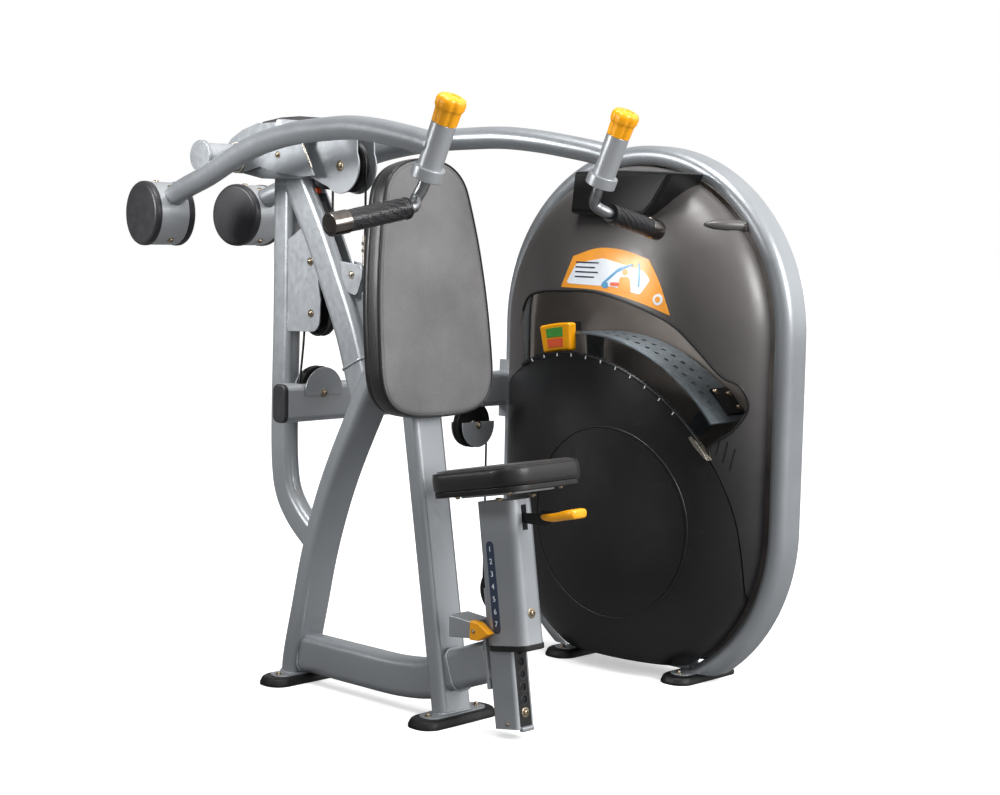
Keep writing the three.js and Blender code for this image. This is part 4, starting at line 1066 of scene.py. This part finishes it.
def shroud_x(y, z):
    """How far across the bulged cover's face lies at (y, z)."""
    reach = math.hypot(y - RING_Y, z - min(max(z, RING_LOW), RING_HIGH)) / SHROUD_R
    return SHROUD_NEAR + SHROUD_RISE * (1 - math.sqrt(max(0.0, 1 - min(reach, 1.0) ** SHROUD_POWER)))


def of_loops(loops):
    return [p for loop in loops for p in loop], capped(len(loops), len(loops[0]))


def shell_shape(skin):
    """The bulged cover as a closed shell of the given thickness."""
    reach = [math.sin(t) for t in np.linspace(math.pi / 2, 0.02, 54)]
    outer = [[(shroud_x(y, z), y, z) for y, z in stadium(SHROUD_R * k)] for k in reach]
    shrink = 1 - skin / SHROUD_R
    inner = [[(x + skin + 0.01, RING_Y + (y - RING_Y) * shrink, z) for x, y, z in ring] for ring in outer]
    return of_loops(inner[::-1] + outer)


def about_axle(radius, start, end, n=30):
    return arc(AXLE_Y, AXLE_Z, radius, start, end, n)


ring_line = arc(RING_Y, RING_LOW, RING_R, 180 + RING_END + 2, 180, 26) + \
    [(RING_Y - RING_R, z) for z in np.linspace(RING_LOW, RING_HIGH, 12)[1:-1]] + \
    arc(RING_Y, RING_HIGH, RING_R, 180, 0, 60) + \
    [(RING_Y + RING_R, z) for z in np.linspace(RING_HIGH, RING_LOW, 12)[1:-1]] + \
    arc(RING_Y, RING_LOW, RING_R, 0, -RING_END - 2, 26)
ring_path = [(TOWER_X, y, z) for y, z in ring_line]
ring_tube = sweep(ring_path, rounded(98, 55, 26, 10))
carve(piece("tower_ring_tube", [ring_tube], SILVER, "frame", ["tower_ring"], 45),
      [block(600, 1000, -900, 1100, -200, FOOT[2] + 0.5)])
floor_beam = piece("tower_floor_beam", [slab(rounded(48, 410, 6), 22.6, 80, "z")],
                   SILVER, "frame", ["tower_beam"], bevel=4)
floor_beam.location = (0.810, 0.077, 0)

WINDOW = [(407, 956), (373, 1023), (313, 1042), (220, 1049), (115, 1051), (27, 1038), (-84, 1007),
          (-162, 973), (-233, 911), (-297, 844), (-332, 825), (-350, 781), (-347, 752), (-319, 703),
          (-269, 660), (-272, 634)]
window_top = [tuple(p) for p in catmull([(0, y, z) for y, z in WINDOW], 5)[:, 1:]]
window = window_top + about_axle(RAIL_R, 142, 66, 40)
floor_level = [block(500, 900, -900, 1100, -300, 42)]


def rail_plug(radius):
    profile = [(0, -400), (radius, -400), (radius, 400), (0, 400)]
    return lathe(profile, (700, AXLE_Y, AXLE_Z), X, 128)


cover = piece("tower_cover_upper", [shell_shape(5)], CHARCOAL, "frame", ["shroud_upper"], 40)
for cut in (floor_level, [rail_plug(RAIL_R)], [slab(window, 560, 800)]):
    carve(cover, cut, sharp=40)
dome = piece("tower_cover_lower", [shell_shape(6.5)], DOME, "frame", ["shroud_dome"], 40)
carve(dome, floor_level, sharp=40)
carve(dome, [rail_plug(RAIL_R - 3)], "INTERSECT", sharp=40)


def on_cover(points, lift):
    return [np.array((shroud_x(y, z) - lift, y, z)) for y, z in points]


def patch(outline, lift, rings=12, depth=2.0):
    """A plate that follows the bulge of the cover."""
    outline = np.asarray(outline, float)
    centre = outline.mean(axis=0)
    loops = [[(shroud_x(*p) - lift + depth, *p) for p in outline]]
    for t in np.linspace(1, 0.02, rings):
        loops.append([(shroud_x(*q) - lift, *q) for q in centre + (outline - centre) * t])
    return of_loops(loops)


def even(points, step=8.0):
    """A closed outline walked in even steps."""
    p = np.asarray(points, float)
    closed = np.vstack([p, p[:1]])
    walk = np.concatenate([[0], np.cumsum(np.linalg.norm(np.diff(closed, axis=0), axis=1))])
    s = np.linspace(0, walk[-1], max(8, int(walk[-1] / step)), endpoint=False)
    return np.stack([np.interp(s, walk, closed[:, i]) for i in range(2)], axis=1)


piece("window_lip", [sweep(on_cover(window_top[2:-1], 0.4), ring_of(3.6, 10), X)], BLACK, "frame", sharp=60)
disc_ring = arc(DISC_Y, DISC_Z, 262, 0, 360, 150)[:-1]
disc_ridge = sweep(on_cover(disc_ring, 0.2), ring_of(2.6, 10), X, True)
piece("cover_disc_ridge", [disc_ridge], DOME, "frame", sharp=60)
inner_disc = arc(DISC_Y, DISC_Z, 255, 0, 360, 120)[:-1]
piece("cover_disc_face", [patch(inner_disc, 2.0, 24, 3.0)], DOME, "frame", sharp=60)
rail_curve = on_cover(about_axle(RAIL_R + 2, 66, 143, 80), 3.0)
piece("rail_strip", [sweep(rail_curve, rounded(13, 9, 3, 4), X)], BLACK, "frame", sharp=50)


def along_rail(shape, radius, lift, angles):
    """One shape repeated along the curved rail."""
    out = []
    for angle in angles:
        y, z = about_axle(radius, angle, angle, 1)[0]
        at = Matrix.Translation((shroud_x(y, z) - lift, y, z))
        out.append(moved(shape, at @ Matrix.Rotation(math.radians(angle - 90), 4, "X")))
    return out


teeth = along_rail(block(-5, 5, -2.3, 2.3, -3.4, 3.4), RAIL_R + 5.0, 3, np.arange(69, 140, 1.5))
ticks = along_rail(block(-0.6, 0.6, -1.2, 1.2, -4.2, 4.2), RAIL_R - 1, 9.7, np.arange(72, 138, 6.0))
piece("rail_teeth", teeth, BLACK, "frame", bevel=0.5)
piece("rail_ticks", ticks, WHITE, "frame")
tip = [(-226, 690), (-262, 652), (-279, 628), (-266, 634), (-232, 662), (-214, 682)]
piece("rail_tip", [slab(tip, 640, 662)], STEEL, "frame", bevel=1.2)
# The cover's moulded grooves, drawn as black lines whose black is painted shade in the grooves.
groove_shade_lines = []
for index in range(3):
    y0 = -286 - 16 * index
    line = [(y0 - 10 * t, 640 + 56 * t - 18 * index) for t in np.linspace(0, 1, 9)]
    groove_shade_lines.append(sweep(on_cover(line, -0.6), ring_of(2.0, 8), X))
piece("cover_grooves_painted_shade", groove_shade_lines, BLACK, "frame", sharp=60)
dimple = [(-204, 1240), (-225, 1239), (-248, 1238), (-270, 1237), (-286, 1236)]
hollow = sweep(on_cover(dimple, 3), ring_of(15, 20), Z, scales=[0.35, 0.8, 1.0, 1.0, 0.7])
bowl = sweep(on_cover(dimple, -5), ring_of(16, 20), Z, scales=[0.4, 0.85, 1.0, 1.0, 0.8])
carve(cover, [hollow], sharp=40)
piece("cover_dimple", [bowl], CHARCOAL, "frame", sharp=60)
piece("cover_screw", [bolt(on_cover([(-280, 1236)], 1)[0], unit((-1, -0.9, 0)), 5)], BRASS, "frame")


def rounded_corners(points, cut=0.12):
    """Softens the corners of an outline by cutting each with a short curve."""
    p = np.asarray(points, float)
    out = []
    for before, here, after in zip(np.roll(p, 1, axis=0), p, np.roll(p, -1, axis=0)):
        a, b = here + (before - here) * cut, here + (after - here) * cut
        out += [(1 - t) ** 2 * a + 2 * t * (1 - t) * here + t * t * b for t in np.linspace(0, 1, 6)]
    return np.array(out)


top_curve = catmull([(0, 190, 1146), (0, 100, 1170), (0, 10, 1166), (0, -72, 1144)], 6)[:, 1:]
side_curve = catmull([(0, -72, 1144), (0, -112, 1084), (0, -150, 1000)], 4)[1:, 1:]
low_curve = catmull([(0, -150, 1000), (0, -53, 1030), (0, 83, 1056), (0, 228, 1060)], 6)[1:, 1:]
outline = np.vstack([top_curve, side_curve, low_curve])
placard = even(outline, 6)
middle = placard.mean(axis=0)
piece("placard_base", [patch(placard, 1.6, 10, 2.4)], ORANGE, "frame", sharp=50)


def mark(name, points, lift, look, step=5.0):
    piece(name, [patch(even(points, step), lift, 4, 0.8)], look, "frame", sharp=50)


field = np.vstack([middle + (np.asarray(p) - middle) * k + (0, dz) for p, k, dz in
                   ((top_curve[0], 0.90, -14), (top_curve[7], 0.86, -16), (top_curve[-1], 0.84, -20),
                    (side_curve[1], 0.84, -8), (side_curve[3], 0.80, 4), (low_curve[3], 0.74, 12),
                    (low_curve[9], 0.78, 10), (low_curve[-1], 0.90, 8))])
mark("placard_field", rounded_corners(field), 2.2, WHITE)
bars = []
for row in range(4):
    start, low, length = 176, 1128 - row * 13, 84 - 12 * (row % 2)
    bar_outline = [(start, low), (start - length, low), (start - length, low + 4), (start, low + 4)]
    bars.append(patch(even(bar_outline, 4), 2.7, 3, 0.8))
piece("placard_bars", bars, NAVY, "frame", sharp=50)
limbs = [[(70, 1072), (76, 1076), (22, 1118), (-24, 1132), (-26, 1127), (18, 1112)],
         [(78, 1070), (66, 1062), (52, 1066), (54, 1078), (68, 1082)],
         [(-46, 1134), (-52, 1106), (-52, 1070), (-47, 1070), (-46, 1104), (-41, 1132)]]
piece("placard_drawing", [patch(even(limb, 4), 2.7, 4, 0.8) for limb in limbs], BLUE, "frame", sharp=50)
mark("placard_head", arc(-2, 1108, 9, 0, 360, 20)[:-1], 3.0, ORANGE, 3)
torso = rounded_corners([(14, 1096), (-18, 1096), (-26, 1054), (20, 1060)], 0.25)
mark("placard_torso", torso, 3.0, ORANGE, 3)
mark("placard_seat", rounded_corners([(46, 1080), (14, 1080), (14, 1070), (46, 1070)], 0.3), 3.1, RED, 3)
mark("placard_badge", arc(-112, 1040, 15, 0, 360, 24)[:-1], 2.4, WHITE, 3)
mark("placard_badge_dot", arc(-112, 1040, 8, 0, 360, 20)[:-1], 3.1, ORANGE, 3)

pod_outline = [(202, 1262), (80, 1255), (-60, 1258), (-92, 1290), (-122, 1330), (-150, 1374), (20, 1379),
               (190, 1376)]
pod = piece("sign_pod_body", [slab(pod_outline, 622, 766)], BLACK, "frame", ["sign_pod"], bevel=9)
carve(pod, [shell_shape(120)], sharp=45)
pod_face = [(190, 1274), (-56, 1270), (-84, 1296), (-134, 1366), (182, 1366)]
piece("sign_pod_face", [slab(pod_face, 619.6, 622.5)], DOME, "frame", bevel=1)


def tower_plate(radius, floor_z, x0, x1):
    """A flat plate with the tower's outline, cut off above the floor."""
    return slab([(y, max(z, floor_z)) for y, z in stadium(radius)], x0, x1)


piece("tower_back_cover", [tower_plate(424, 46, 840, 862), tower_plate(412, 50, 860, 884)],
      CHARCOAL, "frame", ["shroud_back"], bevel=7)
back_ribs = [block(880, 888, RING_Y + shift - 9, RING_Y + shift + 9, 240, 1130) for shift in (-190, 0, 190)]
piece("tower_back_ribs", back_ribs, CHARCOAL, "frame", bevel=3)
piece("tower_edge_plate", [tower_plate(452, 48, 828, 841)], BLACK, "frame", bevel=3)
piece("inner_wall_panel", [tower_plate(446, 50, 822, 827)], WALL, "frame", bevel=1)



def sector(inner, outer, start, end, x0, x1, n):
    """A curved bar about the stack's axle, between two radii and two angles."""
    return slab(about_axle(outer, start, end, n) + about_axle(inner, end, start, n), x0, x1)


def on_axle_ring(radius, angle, x):
    """A point at an angle about the stack's axle, and the outward direction there."""
    y, z = about_axle(radius, angle, angle, 1)[0]
    return (x, y, z), unit((0, y - AXLE_Y, z - AXLE_Z))


band = piece("stack_band", [sector(BAND_R - 5, BAND_R, 80, 141, 655, 812, 90)],
             ZINC, "weight_arm", ["lift_arm"], 30)
holes = []
for row, x in enumerate((702, 752)):
    for index in range(15):
        at, out = on_axle_ring(BAND_R - 30, 84 + index * 3.6 + row * 1.8, x)
        holes.append(lathe([(0, 0), (7.5, 0), (7.5, 60), (0, 60)], at, out, 20))
carve(band, holes, sharp=30)
piece("stack_spokes", [sector(40, 572, start, end, 736, 744, 4) for start, end in ((84, 90), (132, 138))],
      ZINC, "weight_arm", bevel=1)
piece("stack_hub", [lathe([(21, 724), (44, 724), (46, 727), (46, 761), (44, 764), (21, 764), (21, 724)],
                          (0, AXLE_Y, AXLE_Z), X, 56)], ZINC, "weight_arm", sharp=40)
piece("stack_end_bracket", [sector(BAND_R - 1, BAND_R + 7, 130, 139, 742, 815, 10)],
      BLACK, "weight_arm", bevel=2)
end_places = ((131.5, 752), (132.5, 800), (137.2, 800))
piece("stack_end_bolts", [bolt(*on_axle_ring(BAND_R + 7, angle, x), 6) for angle, x in end_places],
      BRASS, "weight_arm")
plate_profile = [(0, 690), (224, 690), (230, 693), (232, 698), (232, 713), (230, 718), (224, 721), (0, 721)]
piece("weight_stack_disc", [lathe(plate_profile, (0, 46, 427), X, 96)],
      IRON, "weight_arm", ["weight_plate"], 40)
piece("weight_axle_bar", [disc((668, AXLE_Y, AXLE_Z), X, 20, 164, 1.5, 40),
                          block(800, 816, 131, 211, 60, 405)], STEEL, "frame", ["weight_axle"])

piece("selector_block", [sector(526, 604, 76, 87, 632, 663, 14)], YELLOW, "selector", ["selector"], bevel=10)
piece("selector_hook", [sector(581, 606, 77.5, 85.5, 658, 700, 10)], BLACK, "selector", bevel=2)
for name, low, high, look in (("upper", 566, 592, GREEN), ("lower", 538, 562, RED)):
    patch_shape = sector(low, high, 78.5, 84.5, 630.8, 634, 8)
    piece("selector_patch_" + name, [patch_shape], look, "selector", bevel=0.6)

# ---------------------------------------------------------------- stage, light and camera

floor_mesh = bpy.data.meshes.new("floor")
floor_mesh.from_pydata([(-40, -40, 0), (40, -40, 0), (40, 40, 0), (-40, 40, 0)], [], [(0, 1, 2, 3)])
floor = added("floor", floor_mesh)
ground = Graph("pale_floor")
sight = ground.nodes.new("ShaderNodeLightPath").outputs["Is Camera Ray"]
pale = ground.mix(ground.remap(ground.noise(2.0), 0.3, 0.7), linear(244, 244, 245), linear(248, 248, 248))
ground.set(Base_Color=ground.mix(sight, linear(120, 120, 121), pale), Roughness=0.75)
ground.set(Emission_Color=linear(255, 255, 255), Emission_Strength=ground.remap(sight, 0.0, 1.0, 0.0, 0.42))
floor_mesh.materials.append(ground.material)

world = bpy.data.worlds.new("studio")
bpy.context.scene.world = world
world.use_nodes = True
nodes, links = world.node_tree.nodes, world.node_tree.links
coords = nodes.new("ShaderNodeTexCoord")
turned = nodes.new("ShaderNodeVectorMath")
turned.operation = "DOT_PRODUCT"
turned.inputs[1].default_value = unit((0.52, -0.72, 0.46))
links.new(coords.outputs["Generated"], turned.inputs[0])
shade = nodes.new("ShaderNodeMapRange")
for key, number in (("From Min", -0.40), ("From Max", 0.95), ("To Min", 0.06), ("To Max", 1.60)):
    shade.inputs[key].default_value = number
links.new(turned.outputs["Value"], shade.inputs["Value"])
path = nodes.new("ShaderNodeLightPath")
strength = nodes.new("ShaderNodeMix")
strength.inputs[3].default_value = 1.0
links.new(path.outputs["Is Camera Ray"], strength.inputs[0])
links.new(shade.outputs["Result"], strength.inputs[2])
background = nodes["Background"]
background.inputs["Color"].default_value = linear(255, 255, 255)
links.new(strength.outputs[0], background.inputs["Strength"])


def softbox(name, at, aim, size, power, spread=180):
    lamp = bpy.data.lights.new(name, "AREA")
    lamp.shape, lamp.size, lamp.energy, lamp.spread = "SQUARE", size, power, math.radians(spread)
    obj = added(name, lamp)
    obj.location = at
    obj.rotation_euler = (Vector(aim) - Vector(at)).to_track_quat("-Z", "Y").to_euler()
    obj.visible_camera = False


softbox("key_light", (1.0, -4.2, 3.0), (0.3, 0.3, 0.8), 2.2, 190)
softbox("top_light", (-0.6, 0.0, 4.0), (0.2, 0.3, 0.9), 1.4, 85)
softbox("left_light", (-2.3, 1.7, 1.9), (0.0, 0.62, 1.2), 0.9, 8.5, 48)
softbox("tower_inside", (0.755, 0.03, 1.28), (0.74, 0.0, 0.9), 0.12, 2.2)

CAMERA_AT, CAMERA_TURN, CAMERA_PITCH, CAMERA_ROLL, LENS = (-3.254, -3.228, 1.24), -46.5, 5.39, 1.222, 67.75
turn, pitch, roll = (math.radians(angle) for angle in (CAMERA_TURN, CAMERA_PITCH, CAMERA_ROLL))
ahead = Vector((-math.sin(turn) * math.cos(pitch), math.cos(turn) * math.cos(pitch), -math.sin(pitch)))
right = Vector((math.cos(turn), math.sin(turn), 0))
up = right.cross(ahead)
across = right * math.cos(roll) + up * math.sin(roll)
rise = -right * math.sin(roll) + up * math.cos(roll)
lens = bpy.data.cameras.new("camera")
lens.lens, lens.sensor_width = LENS, 36
camera = added("camera", lens)
camera.matrix_world = Matrix([*zip(across, rise, -ahead, CAMERA_AT), (0, 0, 0, 1)])
bpy.context.scene.camera = camera
bpy.context.scene.view_settings.view_transform = "Standard"
